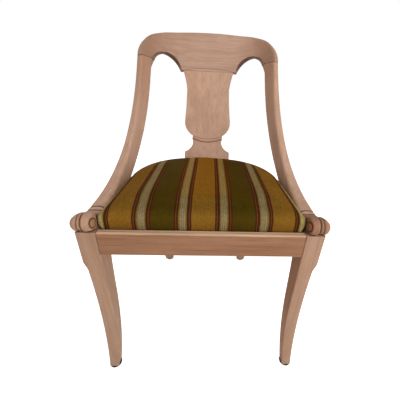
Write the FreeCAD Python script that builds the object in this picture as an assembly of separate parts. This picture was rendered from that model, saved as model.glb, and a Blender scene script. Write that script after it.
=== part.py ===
import FreeCAD, Part
import math
import os

# A gondola side chair: a beech frame whose back posts sweep down from a concave crest rail
# into carved scrolls on the front legs, with a padded drop-in seat that lifts out.
# Millimetres. +X is the sitter's left, seen from the front on the right. +Z is up.
# The chair faces -Y. While it is drawn, y = 0 is the front face of the front rail.
# At the end everything moves along Y, so that the origin is on the floor under the middle.

V = FreeCAD.Vector
X_AXIS = V(1, 0, 0)
Y_AXIS = V(0, 1, 0)
Z_AXIS = V(0, 0, 1)

# Seat rails
RAIL_TOP = 434.0
RAIL_HEIGHT = 50.0
FRONT_RAIL_THICKNESS = 26.0
SIDE_RAIL_THICKNESS = 34.0
LIP_WIDTH = 12.0
LIP_ROUND = 4.0
SEAM_TOLERANCE = 0.01
RABBET_DEPTH = 20.0

# Front legs
LEG_SPREAD = 470.0
LEG_WIDTH = 37.5
LEG_DEPTH = 46.0
LEG_BLOCK_HEIGHT = 68.0
LEG_KNEE_HEIGHT = 25.0
CALF_HOLLOW = 7.5
CALF_WAIST_HEIGHT = 255.0
FRONT_FOOT_WIDTH = 23.0
FRONT_FOOT_DEPTH = 25.0
FRONT_FOOT_SPLAY = 21.0
CALF_TAPER = 1.6
SPLAY_START = 250.0
LEG_EDGE_ROUND = 2.5

# Rear legs
REAR_LEG_INSET = 68.5
REAR_LEG_WIDTH = 40.0
REAR_LEG_SETBACK = 39.0
REAR_LEG_DEPTH = 42.0
REAR_FOOT_WIDTH = 29.0
REAR_FOOT_DEPTH = 29.0
REAR_FOOT_OUTSET = 1.0
REAR_LEG_SWEEP = 96.0
REAR_CORNER_ROUND = 24.0

# Glides under the feet
GLIDE_DIAMETER = 30.0
GLIDE_FLAT = 16.0
GLIDE_HEIGHT = 7.0
GLIDE_RIM = 2.0
GLIDE_NAIL_DIAMETER = 2.6
GLIDE_NAIL_LENGTH = 16.0

# Plan of the drop-in seat
SEAT_GAP = 1.0
SEAT_DEPTH = 354.0
SIDE_TAPER = 2.1
BACK_ARC_RADIUS = 330.0
BACK_CORNER_RADIUS = 150.0
FRONT_CORNER_RADIUS = 14.0

# Layers of the drop-in seat
REST_GAP = 0.3
COVER_THICKNESS = 1.2
COVER_HEM = 22.0
CROWN_HEIGHT = 72.0
CROWN_WALL = 35.0
CROWN_REACH = 122.0
CROWN_EDGE = 0.65
CROWN_BANDS = 6
SEAT_FRAME_WIDTH = 45.0
SEAT_FRAME_THICKNESS = 16.0
FRAME_REAR_SETBACK = 34.0
LAYER_GAP = 0.2
WEB_WIDTH = 50.0
WEB_THICKNESS = 1.0
WEB_EDGE_INSET = 12.0
WEB_PITCH = 70.0
WEBS_EACH_WAY = 4
CROSS_WEB_START = 62.0
HESSIAN_THICKNESS = 0.8
HESSIAN_INSET = 5.0
DUST_COVER_THICKNESS = 0.6
DUST_COVER_GAP = 2.0
TACK_HEAD_DIAMETER = 7.0
TACK_HEAD_HEIGHT = 0.8
TACK_SHANK_DIAMETER = 1.6
TACK_LENGTH = 11.0
TACK_INSET = 18.0
TACK_PITCH = 38.0
FRONT_TACKS = 6
SIDE_TACKS = 4

# Crest rail
CREST_TOP = 809.0
CREST_LEAN = 12.0
CREST_THICKNESS = 22.0
CREST_TOP_ARC = 925.0
BACK_PLAN_RADIUS = 750.0
BACK_REACH = 465.0
SHOULDER_X = 136.0
SHOULDER_Z = 729.5
SHOULDER_RADIUS = 70.0
SHOULDER_TWIST = 38.0
POST_INNER_X = 162.0
ARCH_RISE = 22.0
ARCH_BULGE = 14.5
FLANK_UNDERCUT = 6.3
TONGUE_INSET = 4.5
TONGUE_FLARE = 6.0
TONGUE_DROP = 22.0
CREST_RIM_ROUND = 6.0
CREST_TRIM = 12.0
SHOULDER_EASE = 1.3

# Back posts
ARM_OVERHANG = 4.0
ARM_START = 66.0
ARM_HEIGHT = 15.0
ARM_WIDTH = 38.0
ARM_ROUND = 10.0
POST_DEPTH = 44.0
SWEEP_FRONT_PULL = 57.0
SWEEP_TOP_PULL = 302.0
SWEEP_TOP_LEAN = 19.7
POST_EDGE_ROUND = 1.5
POST_TURN_EASE = 2.2
RING_BAND = 20.0
RING_LINE = 1.6
RING_LINE_DEPTH = 1.2
RING_RISE = 3.0

# Scrolls
SCROLL_RADIUS = 18.5
SCROLL_SETBACK = 10.0
SCROLL_OVERHANG = 6.0
SCROLL_DOME = 12.0
SCROLL_EYE_RADIUS = 6.0
SCROLL_END_RADIUS = 7.0
SCROLL_SWELL = 2.4
SCROLL_SINK = 1.0
SCROLL_NECK = 15.0
SCROLL_CORE_INSET = 3.0
REED_WIDTHS = (15.0, 6.5, 10.0)
REED_DEPTH = 1.8

# Splat
SPLAT_THICKNESS = 17.0
SPLAT_CLEARANCE = 13.0
SPLAT_TOP_HALF = 83.5
SPLAT_WAIST_HALF = 64.0
SPLAT_URN_HALF = 70.0
SPLAT_NECK_HALF = 45.0
SPLAT_FOOT_HALF = 71.0
SPLAT_WAIST_RISE = 227.0
SPLAT_URN_RISE = 140.0
SPLAT_NECK_RISE = 93.0
SPLAT_BEAD_RISE = 78.0
SPLAT_FOOT_RISE = 43.0
BEAD_PROUD = 2.5
COVE_PULL_IN = 5.0
COVE_PULL_DOWN = 6.0
BOWL_PUSH_OUT = 6.0
BOWL_PULL_DOWN = 7.0
BODY_HOLLOW = 1.2
FLARE_HOLLOW = 2.5
SPLAT_TRIM = 10.0
TENON_THICKNESS = 8.0
TENON_SHOULDER = 22.0
TENON_LENGTH = 13.0
TENON_ROOT = 4.0
TENON_SETBACK = 2.0

# Dowels, screws, blocks and cleats
FIT_GAP = 0.05
MORTISE_GAP = 0.15
DOWEL_DIAMETER = 10.0
DOWEL_LENGTH = 40.0
DOWEL_PITCH = 16.0
SMALL_DOWEL_DIAMETER = 8.0
DOWEL_WALL = 1.0
ARM_DOWEL_LENGTH = 26.0
ARM_DOWEL_RISE = 8.0
ARM_DOWEL_SETBACK = 16.0
ARM_DOWEL_PLACES = (98.0, 150.0)
FRAME_DOWEL_DIAMETER = 6.0
FRAME_DOWEL_LENGTH = 30.0
FRAME_DOWEL_PITCH = 22.0
BLOCK_HEIGHT = 26.0
FRONT_BLOCK_LEG = 66.0
BLOCK_EDGE = 12.0
REAR_BLOCK_REACH = 70.0
REAR_BLOCK_EDGE = 8.0
BLOCK_SCREW_INSET = 16.0
CLEAT_WIDTH = 12.0
CLEAT_HEIGHT = 15.0
CLEAT_START = 104.0
CLEAT_END = 244.0
CLEAT_SCREWS = 3
SCREW_DIAMETER = 4.0
SCREW_HEAD_DIAMETER = 8.0
SCREW_HEAD_HEIGHT = 2.6
SCREW_BITE = 14.0

# Sizes that follow from those above
rail_bottom = RAIL_TOP - RAIL_HEIGHT
ledge = RAIL_TOP - RABBET_DEPTH
leg_outer = LEG_SPREAD / 2
leg_inner = leg_outer - LEG_WIDTH
seat_front = LIP_WIDTH + SEAT_GAP
seat_back = seat_front + SEAT_DEPTH
seat_half = leg_inner - SEAT_GAP
foot_bottom = GLIDE_HEIGHT
lean = math.radians(CREST_LEAN)
taper = math.radians(SIDE_TAPER)
rail_outer_grow = SEAT_GAP + SIDE_RAIL_THICKNESS
rear_inner = leg_inner - REAR_LEG_INSET
rear_outer = rear_inner + REAR_LEG_WIDTH
rear_front = seat_back - REAR_LEG_SETBACK
arm_outer_x = leg_outer + ARM_OVERHANG
splat_foot_front = seat_back + SPLAT_CLEARANCE


def line(a, b):
    return Part.LineSegment(a, b).toShape()


def arc(a, middle, b):
    return Part.Arc(a, middle, b).toShape()


def face(edges):
    return Part.Face(Part.Wire(edges))


def box(x0, x1, y0, y1, z0, z1):
    return Part.makeBox(x1 - x0, y1 - y0, z1 - z0, V(x0, y0, z0))


def prism(points, z0, z1):
    loop = [V(x, y, z0) for x, y in points]
    return Part.Face(Part.makePolygon(loop + loop[:1])).extrude(V(0, 0, z1 - z0))


def rod(start, direction, radius, length):
    return Part.makeCylinder(radius, length, start, direction)


def mirrored(shape):
    return shape.mirror(V(0, 0, 0), X_AXIS)


def group(shapes):
    return Part.makeCompound(shapes)


def cut_all(shape, cutters):
    return shape.cut(group(cutters)) if cutters else shape


def loft(wires, ruled=False):
    return Part.makeLoft(wires, True, ruled)


def rounded_loop(corners, radii):
    """A closed planar wire through the corners, each rounded to its radius."""
    edges = []
    ends = []
    count = len(corners)
    for i, (p, r) in enumerate(zip(corners, radii)):
        back = (corners[i - 1] - p).normalize()
        ahead = (corners[(i + 1) % count] - p).normalize()
        half = back.getAngle(ahead) / 2
        toward = (back + ahead).normalize()
        middle = p + toward * (r / math.sin(half) - r)
        reach = r / math.tan(half)
        ends.append((p + back * reach, middle, p + ahead * reach))
    for i, (enter, middle, leave) in enumerate(ends):
        edges.append(arc(enter, middle, leave))
        edges.append(line(leave, ends[(i + 1) % count][0]))
    return Part.Wire(edges)


def rounded_rectangle(x0, x1, y0, y1, z, radii):
    return rounded_loop([V(x0, y0, z), V(x1, y0, z), V(x1, y1, z), V(x0, y1, z)], radii)


# Plan of the seat: a straight front, tapered sides and a round back of tangent arcs

back_centre = V(0, seat_back - BACK_ARC_RADIUS, 0)


def back_corner_centre():
    """Centre of the arc that touches the tapered side and the arc of the back."""
    reach = BACK_ARC_RADIUS - BACK_CORNER_RADIUS
    start = seat_half + math.tan(taper) * seat_front - BACK_CORNER_RADIUS / math.cos(taper)
    slope = math.tan(taper)
    a = 1 + slope ** 2
    b = -2 * (start * slope + back_centre.y)
    c = start ** 2 + back_centre.y ** 2 - reach ** 2
    y = (-b + math.sqrt(b * b - 4 * a * c)) / (2 * a)
    return V(start - slope * y, y, 0)


corner_centre = back_corner_centre()


def side_x(y, grow=0.0):
    """Half width of the seat's tapered side, grown outward."""
    return seat_half + grow / math.cos(taper) - math.tan(taper) * (y - seat_front)


def seat_loop(grow, front, z):
    """The seat's outline, grown by a distance, with its front edge at y = front."""
    radius = BACK_CORNER_RADIUS + grow
    to_back = math.atan2(corner_centre.y - back_centre.y, corner_centre.x)

    def on_corner(angle):
        return corner_centre + V(radius * math.cos(angle), radius * math.sin(angle), z)

    def flip(p):
        return V(-p.x, p.y, p.z)

    nose = max(FRONT_CORNER_RADIUS + grow, FRONT_CORNER_RADIUS / 2)
    turn = nose * math.tan((math.pi / 2 - taper) / 2)
    corner = V(side_x(front, grow), front, z)
    along = V(-math.sin(taper), math.cos(taper), 0)
    inward = (along - X_AXIS).normalize()
    nose_start = corner - X_AXIS * turn
    nose_middle = corner + inward * (math.hypot(nose, turn) - nose)
    nose_end = corner + along * turn
    bend_start = on_corner(taper)
    bend_middle = on_corner((taper + to_back) / 2)
    bend_end = on_corner(to_back)
    return Part.Wire([
        line(flip(nose_start), nose_start),
        arc(nose_start, nose_middle, nose_end),
        line(nose_end, bend_start),
        arc(bend_start, bend_middle, bend_end),
        arc(bend_end, V(0, seat_back + grow, z), flip(bend_end)),
        arc(flip(bend_end), flip(bend_middle), flip(bend_start)),
        line(flip(bend_start), flip(nose_end)),
        arc(flip(nose_end), flip(nose_middle), flip(nose_start)),
    ])


def seat_plan(grow, front, z0, z1):
    """The seat's outline as a prism between two heights."""
    return Part.Face(seat_loop(grow, front, z0)).extrude(Z_AXIS * (z1 - z0))


# Legs

def front_leg():
    """Right front leg: a square block, a knee on its outer side and a calf that splays at the foot."""
    block_end = RAIL_TOP - LEG_BLOCK_HEIGHT
    knee_end = block_end - LEG_KNEE_HEIGHT
    waist_x = leg_outer - CALF_HOLLOW
    foot_outer = leg_inner + FRONT_FOOT_SPLAY + FRONT_FOOT_WIDTH
    bow = (foot_outer - waist_x) / (CALF_WAIST_HEIGHT - foot_bottom) ** 2
    knee_step = leg_outer - waist_x - bow * (block_end - CALF_WAIST_HEIGHT) ** 2
    radii = [LEG_EDGE_ROUND] * 4

    def section(z):
        splay = max(0.0, (SPLAY_START - z) / (SPLAY_START - foot_bottom))
        inner = leg_inner + FRONT_FOOT_SPLAY * splay ** 2
        knee = min(1.0, (block_end - z) / LEG_KNEE_HEIGHT)
        outer = waist_x + bow * (z - CALF_WAIST_HEIGHT) ** 2
        outer += knee_step * (1 + math.cos(math.pi * knee)) / 2
        fall = (block_end - z) / (block_end - foot_bottom)
        depth = FRONT_FOOT_DEPTH + (LEG_DEPTH - FRONT_FOOT_DEPTH) * (1 - fall) ** CALF_TAPER
        return rounded_rectangle(inner, outer, 0, depth, z, radii)

    top = rounded_rectangle(leg_inner, leg_outer, 0, LEG_DEPTH, RAIL_TOP, radii)
    block = loft([section(block_end), top], ruled=True)
    knee = loft([section(block_end - LEG_KNEE_HEIGHT * s) for s in (0, 0.25, 0.5, 0.75, 1)])
    calf = loft([section(knee_end - (knee_end - foot_bottom) * s) for s in (0, 0.2, 0.4, 0.6, 0.8, 1)])
    return block.fuse(knee).fuse(calf)


def rear_leg():
    """Right rear leg: a block between the rails and a sabre that sweeps back to the floor."""
    foot_middle = (rear_inner + rear_outer) / 2 + REAR_FOOT_OUTSET

    def section(z):
        fall = max(0.0, (rail_bottom - z) / (rail_bottom - foot_bottom))
        inner = rear_inner + (foot_middle - REAR_FOOT_WIDTH / 2 - rear_inner) * fall
        outer = rear_outer + (foot_middle + REAR_FOOT_WIDTH / 2 - rear_outer) * fall
        front = rear_front + REAR_LEG_SWEEP * fall ** 2
        depth = REAR_LEG_DEPTH + (REAR_FOOT_DEPTH - REAR_LEG_DEPTH) * fall
        corner = REAR_CORNER_ROUND + (LEG_EDGE_ROUND - REAR_CORNER_ROUND) * fall
        radii = [LEG_EDGE_ROUND, LEG_EDGE_ROUND, corner, LEG_EDGE_ROUND]
        return rounded_rectangle(inner, outer, front, front + depth, z, radii)

    block = loft([section(rail_bottom), section(RAIL_TOP)], ruled=True)
    drop = rail_bottom - foot_bottom
    sabre = loft([section(rail_bottom - drop * s) for s in (0, 0.2, 0.4, 0.6, 0.8, 1)])
    return block.fuse(sabre)


def glide(foot_x, foot_y):
    """A domed nail-on glide; the flat of its dome rests on the floor."""
    dome = GLIDE_HEIGHT - GLIDE_RIM
    middle = V(0, 0, 0)
    flat_edge = V(GLIDE_FLAT / 2, 0, 0)
    dome_middle = V(GLIDE_DIAMETER * 0.43, 0, dome * 0.4)
    rim_low = V(GLIDE_DIAMETER / 2, 0, dome)
    rim_high = V(GLIDE_DIAMETER / 2, 0, GLIDE_HEIGHT)
    top = V(0, 0, GLIDE_HEIGHT)
    outline = [
        line(middle, flat_edge),
        arc(flat_edge, dome_middle, rim_low),
        line(rim_low, rim_high),
        line(rim_high, top),
        line(top, middle),
    ]
    cap = face(outline).revolve(middle, Z_AXIS, 360)
    nail = rod(V(0, 0, dome), Z_AXIS, GLIDE_NAIL_DIAMETER / 2, GLIDE_RIM + GLIDE_NAIL_LENGTH)
    whole = cap.fuse(nail)
    whole.translate(V(foot_x, foot_y, 0))
    return whole


def glide_hole(foot_x, foot_y):
    return rod(V(foot_x, foot_y, foot_bottom), Z_AXIS, GLIDE_NAIL_DIAMETER / 2 + FIT_GAP,
               GLIDE_NAIL_LENGTH + MORTISE_GAP)


# Crest rail, drawn in a leaning frame: x across, n into the back, u up along the lean

crest_origin = V(0, BACK_REACH, SHOULDER_Z)
LEAN_UP = V(0, math.sin(lean), math.cos(lean))
LEAN_IN = V(0, math.cos(lean), -math.sin(lean))


def leaned(x, n, u):
    return crest_origin + X_AXIS * x + LEAN_IN * n + LEAN_UP * u


def hollow_n(x):
    """How far the concave front of the back comes forward at x, as a depth n."""
    return math.sqrt(BACK_PLAN_RADIUS ** 2 - x ** 2) - BACK_PLAN_RADIUS


crest_rise = (CREST_TOP - SHOULDER_Z) / math.cos(lean)
arch_blank = ARCH_RISE - CREST_TRIM
shoulder_turn = math.asin(SHOULDER_X / BACK_PLAN_RADIUS)


def crest_corners(theta):
    """Corners of the shoulder's section at an angle round its turn: inner, rim, rim back, inner back."""
    across = V(math.cos(shoulder_turn), -math.sin(shoulder_turn), 0)
    inward = V(math.sin(shoulder_turn), math.cos(shoulder_turn), 0)
    outward = across * math.sin(theta) + V(0, 0, 1) * math.cos(theta)
    twist = math.radians(SHOULDER_TWIST) * (theta / (math.pi / 2)) ** SHOULDER_EASE
    along = outward * math.cos(twist) - inward * math.sin(twist)
    through = outward * math.sin(twist) + inward * math.cos(twist)
    width = (SHOULDER_RADIUS - arch_blank - CREST_THICKNESS * math.sin(twist)) / math.cos(twist)
    start = V(SHOULDER_X, hollow_n(SHOULDER_X), 0) + outward * arch_blank
    local = [start, start + along * width, start + along * width + through * CREST_THICKNESS,
             start + through * CREST_THICKNESS]
    return [leaned(p.x, p.y, p.z) for p in local]


def crest_section(corners):
    small = POST_EDGE_ROUND
    return rounded_loop(corners, [small, CREST_RIM_ROUND, CREST_RIM_ROUND, small])


def crest_middle(x):
    n = hollow_n(x)
    top = crest_rise - CREST_TOP_ARC + math.sqrt(CREST_TOP_ARC ** 2 - x ** 2)
    low = -TONGUE_DROP - CREST_TRIM
    return [leaned(x, n, low), leaned(x, n, top), leaned(x, n + CREST_THICKNESS, top),
            leaned(x, n + CREST_THICKNESS, low)]


def flipped(corners):
    return [V(-p.x, p.y, p.z) for p in corners]


def arch_outline(share):
    """Outline of the space under the crest: two arches and the flat foot of the tongue between them. The
    flanks of the arches slope out from the front face, at share 0, to the back face, at share 1."""
    small = POST_INNER_X - SHOULDER_X
    foot = -TONGUE_DROP
    tongue_half = SPLAT_TOP_HALF - TONGUE_INSET + TONGUE_FLARE * share
    bulge = ARCH_BULGE - FLANK_UNDERCUT * share
    run = SHOULDER_X - tongue_half
    drop = ARCH_RISE - foot
    chord = math.hypot(run, drop)
    below = foot - SHOULDER_RADIUS
    n = hollow_n((SHOULDER_X + SPLAT_TOP_HALF) / 2) + CREST_THICKNESS * share

    def at(x, u):
        return leaned(x, n, u)

    bend = math.sin(math.pi / 4)
    right = [
        (at(POST_INNER_X, ARCH_RISE - small),
         at(SHOULDER_X + small * bend, ARCH_RISE - small + small * bend),
         at(SHOULDER_X, ARCH_RISE)),
        (at(SHOULDER_X, ARCH_RISE),
         at(SHOULDER_X - run / 2 - bulge * drop / chord, (ARCH_RISE + foot) / 2 + bulge * run / chord),
         at(tongue_half, foot)),
    ]
    edges = [line(at(POST_INNER_X, below), right[0][0])] + [arc(*r) for r in right]
    edges.append(line(right[1][2], V(-right[1][2].x, right[1][2].y, right[1][2].z)))
    for start, middle, end in reversed(right):
        edges.append(arc(*flipped([end, middle, start])))
    edges.append(line(V(-POST_INNER_X, right[0][0].y, right[0][0].z), at(-POST_INNER_X, below)))
    edges.append(line(at(-POST_INNER_X, below), at(POST_INNER_X, below)))
    return Part.Wire(edges)


def arch_cutter():
    before, beyond = -2.5, 2.0
    return loft([arch_outline(before), arch_outline(beyond)], ruled=True)


def crest_blank():
    turns = [math.radians(a) for a in (90, 74, 57, 40, 24, 10)]
    spans = [0.72, 0.36]
    right = [crest_corners(t) for t in turns] + [crest_middle(SHOULDER_X * s) for s in spans]
    left = [flipped(c) for c in reversed(right)]
    return loft([crest_section(c) for c in right + [crest_middle(0.0)] + left])


# Back posts

def joint_corners():
    """Section of the right post where it meets the crest: the shoulder's end, cut at the arch."""
    inner, rim, rim_back, inner_back = crest_corners(math.pi / 2)

    def at_post(a, b):
        return a + (b - a) * ((POST_INNER_X - a.x) / (b.x - a.x))

    return [at_post(inner, rim), rim, rim_back, at_post(inner_back, rim_back)]


joint = joint_corners()
post_top = joint[2]
joint_turn = math.atan2(joint[1].x - joint[0].x, joint[0].y - joint[1].y)
joint_width = joint[0].distanceToPoint(joint[1])
sweep = Part.BezierCurve()
sweep_start = V(0, ARM_START, RAIL_TOP + ARM_HEIGHT)
sweep_end = V(0, post_top.y, post_top.z)
sweep_top_lean = math.radians(SWEEP_TOP_LEAN)
sweep.setPoles([
    sweep_start,
    sweep_start + Y_AXIS * SWEEP_FRONT_PULL,
    sweep_end - V(0, math.sin(sweep_top_lean), math.cos(sweep_top_lean)) * SWEEP_TOP_PULL,
    sweep_end,
])


def arm_outer(y):
    """Half width of the back at the posts' outer rim: straight at the front, then drawn in."""
    share = max(0.0, (y - ARM_START) / (post_top.y - ARM_START))
    return arm_outer_x + (post_top.x - arm_outer_x) * share ** 2


def post_section(t):
    rim = sweep.value(t)
    direction = sweep.tangent(t)[0]
    front = V(0, -direction.z, direction.y)
    turn = joint_turn * t ** POST_TURN_EASE
    thickness = CREST_THICKNESS + (ARM_WIDTH - CREST_THICKNESS) * (1 - t) ** 2
    through = X_AXIS * math.cos(turn) - front * math.sin(turn)
    along = X_AXIS * math.sin(turn) + front * math.cos(turn)
    rim_outer = V(arm_outer(rim.y), rim.y, rim.z)
    depth = POST_DEPTH - (POST_DEPTH - joint_width) * t ** 4
    rim_inner = rim_outer - through * thickness
    corners = [rim_inner - along * depth, rim_inner, rim_outer, rim_outer - along * depth]
    soft = CREST_RIM_ROUND + (ARM_ROUND - CREST_RIM_ROUND) * (1 - t) ** 2
    return rounded_loop(corners, [POST_EDGE_ROUND, soft, soft, POST_EDGE_ROUND])


scroll_z = RAIL_TOP + SCROLL_RADIUS - SCROLL_SINK
scroll_inner = leg_inner
scroll_outer = leg_outer + SCROLL_OVERHANG


def arm_section(y, inner, outer, top, inset=0.0):
    bottom = RAIL_TOP - POST_DEPTH
    x0 = inner + inset
    x1 = outer - inset
    z1 = top - inset
    corners = [V(x0, y, bottom), V(x0, y, z1), V(x1, y, z1), V(x1, y, bottom)]
    return rounded_loop(corners, [POST_EDGE_ROUND, ARM_ROUND, ARM_ROUND, POST_EDGE_ROUND])


ring_front = ARM_START - RING_BAND
arm_inner = arm_outer_x - ARM_WIDTH


def scroll():
    """The roll on the front of the arm: reeds round a level axis, domed at its eye and its outer end."""
    dome_end = scroll_inner + SCROLL_DOME
    room = scroll_outer - dome_end
    fall_off = 1 - (SCROLL_END_RADIUS / SCROLL_RADIUS) ** 2

    def swell(x):
        return SCROLL_RADIUS * math.sqrt(1 - fall_off * (max(0.0, x - dome_end) / room) ** SCROLL_SWELL)

    def groove(x):
        return V(x, 0, swell(x) - REED_DEPTH)

    eye = V(scroll_inner, 0, SCROLL_EYE_RADIUS)
    eye_dome = V(scroll_inner + SCROLL_DOME * 0.25, 0, SCROLL_RADIUS * 0.7)
    outline = [line(V(scroll_inner, 0, 0), eye), arc(eye, eye_dome, groove(dome_end))]
    x = dome_end
    for width in REED_WIDTHS:
        reed = room * width / sum(REED_WIDTHS)
        outline.append(arc(groove(x), V(x + reed / 2, 0, swell(x + reed / 2)), groove(x + reed)))
        x += reed
    outline.append(line(groove(x), V(x, 0, 0)))
    outline.append(line(V(x, 0, 0), V(scroll_inner, 0, 0)))
    roll = face(outline).revolve(V(0, 0, 0), X_AXIS, 360)
    roll.translate(V(0, SCROLL_SETBACK, scroll_z))
    return roll


def ring_cutter(y, top):
    slab = box(arm_inner - ARM_WIDTH, arm_outer_x + ARM_WIDTH, y - RING_LINE / 2, y + RING_LINE / 2,
               RAIL_TOP - 2 * POST_DEPTH, top + POST_DEPTH)
    core = Part.Face(arm_section(y - RING_LINE, arm_inner, arm_outer_x, top, RING_LINE_DEPTH))
    return slab.cut(core.extrude(Y_AXIS * (2 * RING_LINE)))


def back_post():
    """Right back post: from the crest joint down and forward into the arm, the ring and the scroll."""
    top = RAIL_TOP + ARM_HEIGHT
    ring_top = top + RING_RISE
    roll_top = scroll_z + SCROLL_RADIUS
    step = SCROLL_CORE_INSET
    core_inner = scroll_inner + step
    wires = [
        arm_section(SCROLL_SETBACK, core_inner, scroll_outer - 3 * step, roll_top - step),
        arm_section(SCROLL_SETBACK + SCROLL_NECK, core_inner, scroll_outer - 2 * step, roll_top - 2 * step),
        arm_section(ring_front, arm_inner, arm_outer_x, ring_top),
    ]
    wires += [post_section(t) for t in (0, 0.1, 0.22, 0.36, 0.5, 0.64, 0.77, 0.89)]
    soft = CREST_RIM_ROUND
    wires.append(rounded_loop(joint, [POST_EDGE_ROUND, soft, soft, POST_EDGE_ROUND]))
    post = loft(wires)
    rings = [ring_cutter(ring_front, ring_top), ring_cutter(ARM_START, top)]
    floor = box(0, 2 * arm_outer_x, -LEG_DEPTH, 2 * BACK_REACH, 0, RAIL_TOP)
    return cut_all(post, rings).fuse(scroll()).cut(floor)


# Splat

def splat_front(z):
    share = (z - RAIL_TOP) / (crest_origin.z - RAIL_TOP)
    return splat_foot_front + (crest_origin.y - splat_foot_front) * share


def splat_outline(z_top):
    """Half outline of the splat from its foot to its top: foot, cove, bead, urn, waist and flare."""
    def at(half, rise):
        return V(half, 0, RAIL_TOP + rise)

    foot_top = at(SPLAT_FOOT_HALF, SPLAT_FOOT_RISE)
    bead_low = at(SPLAT_NECK_HALF, SPLAT_BEAD_RISE)
    bead_high = at(SPLAT_NECK_HALF, SPLAT_NECK_RISE)
    urn = at(SPLAT_URN_HALF, SPLAT_URN_RISE)
    waist = at(SPLAT_WAIST_HALF, SPLAT_WAIST_RISE)
    top = V(SPLAT_TOP_HALF, 0, z_top)
    cove_middle = at((SPLAT_FOOT_HALF + SPLAT_NECK_HALF) / 2 - COVE_PULL_IN,
                     (SPLAT_FOOT_RISE + SPLAT_BEAD_RISE) / 2 - COVE_PULL_DOWN)
    bead_middle = at(SPLAT_NECK_HALF + BEAD_PROUD, (SPLAT_BEAD_RISE + SPLAT_NECK_RISE) / 2)
    bowl_middle = at((SPLAT_NECK_HALF + SPLAT_URN_HALF) / 2 + BOWL_PUSH_OUT,
                     (SPLAT_NECK_RISE + SPLAT_URN_RISE) / 2 - BOWL_PULL_DOWN)
    body_middle = at((SPLAT_URN_HALF + SPLAT_WAIST_HALF) / 2 - BODY_HOLLOW,
                     (SPLAT_URN_RISE + SPLAT_WAIST_RISE) / 2)
    flare_middle = V((SPLAT_WAIST_HALF + SPLAT_TOP_HALF) / 2 - FLARE_HOLLOW, 0, (waist.z + z_top) / 2)
    return [
        line(at(SPLAT_FOOT_HALF, 0), foot_top),
        arc(foot_top, cove_middle, bead_low),
        arc(bead_low, bead_middle, bead_high),
        arc(bead_high, bowl_middle, urn),
        arc(urn, body_middle, waist),
        arc(waist, flare_middle, top),
    ]


def splat_tenons(gap):
    """Tenons at the splat's foot and top, or with a gap the mortises that take them."""
    middle_n = SPLAT_THICKNESS / 2
    tongue = SPLAT_NECK_HALF
    foot_half = SPLAT_FOOT_HALF - TENON_SHOULDER
    thin = TENON_THICKNESS / 2 + gap
    foot_middle = splat_front(RAIL_TOP) + middle_n - SPLAT_FOOT_HALF ** 2 / BACK_PLAN_RADIUS / 4
    long = TENON_LENGTH + gap
    foot = box(-foot_half - gap, foot_half + gap, foot_middle - thin, foot_middle + thin,
               RAIL_TOP - long, RAIL_TOP + TENON_ROOT)
    top_middle = middle_n - TENON_SETBACK
    base = -TONGUE_DROP - TENON_ROOT
    corners = ((-1, -1), (1, -1), (1, 1), (-1, 1))
    loop = [leaned(i * (tongue + gap), top_middle + j * thin, base) for i, j in corners]
    top = Part.Face(Part.makePolygon(loop + loop[:1])).extrude(LEAN_UP * (TENON_ROOT + long))
    return foot, top


def splat():
    radius = BACK_PLAN_RADIUS
    tall = crest_origin.z - RAIL_TOP
    half = SPLAT_TOP_HALF + SPLAT_TRIM

    def on_arc(x, r, y):
        return V(x, y - BACK_PLAN_RADIUS + math.sqrt(r ** 2 - x ** 2), RAIL_TOP)

    y = splat_foot_front
    back = radius + SPLAT_THICKNESS
    sheet = face([
        arc(on_arc(-half, radius, y), on_arc(0, radius, y), on_arc(half, radius, y)),
        line(on_arc(half, radius, y), on_arc(half, back, y)),
        arc(on_arc(half, back, y), on_arc(0, back, y), on_arc(-half, back, y)),
        line(on_arc(-half, back, y), on_arc(-half, radius, y)),
    ])
    board = sheet.extrude(V(0, crest_origin.y - y, tall))
    right = splat_outline(crest_origin.z)
    left = [mirrored(e) for e in right]
    top = line(right[-1].Vertexes[-1].Point, left[-1].Vertexes[-1].Point)
    bottom = line(left[0].Vertexes[0].Point, right[0].Vertexes[0].Point)
    outline = Part.Wire(Part.__sortEdges__(right + [top, bottom] + left))
    shaped = board.common(Part.Face(outline).extrude(Y_AXIS * (2 * BACK_REACH)))
    corners = ((-1, -1), (1, -1), (1, 1), (-1, 1))
    crest_space = [leaned(i * BACK_REACH, j * BACK_REACH, -TONGUE_DROP) for i, j in corners]
    above = Part.Face(Part.makePolygon(crest_space + crest_space[:1])).extrude(LEAN_UP * BACK_REACH)
    foot, head = splat_tenons(0.0)
    return shaped.cut(above).fuse(foot).fuse(head)


# Rails

def rail_ring():
    hole = seat_plan(SEAT_GAP, -LEG_DEPTH, rail_bottom, RAIL_TOP)
    return seat_plan(rail_outer_grow, -LEG_DEPTH, rail_bottom, RAIL_TOP).cut(hole)


def seat_recess():
    return seat_plan(SEAT_GAP, LIP_WIDTH, ledge, RAIL_TOP + RAIL_HEIGHT)


def front_rail():
    blank = box(-leg_inner, leg_inner, 0, FRONT_RAIL_THICKNESS, rail_bottom, RAIL_TOP)
    rabbet = box(-leg_inner, leg_inner, LIP_WIDTH, FRONT_RAIL_THICKNESS, ledge, RAIL_TOP)
    rail = blank.cut(rabbet)
    nose = V(0, 0, RAIL_TOP)
    lip = [e for e in rail.Edges if e.CenterOfMass.distanceToPoint(nose) < SEAM_TOLERANCE]
    return rail.makeFillet(LIP_ROUND, lip)


def side_rail():
    """Right side rail: from the front leg round to the rear leg, scribed over the leg's outer side."""
    wide = leg_outer + SIDE_RAIL_THICKNESS
    leg_end = rear_front + REAR_LEG_DEPTH
    rail = rail_ring().common(box(0, wide, LEG_DEPTH, leg_end, rail_bottom, RAIL_TOP))
    return rail.cut(box(-wide, rear_outer, rear_front, leg_end, rail_bottom, RAIL_TOP))


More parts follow.
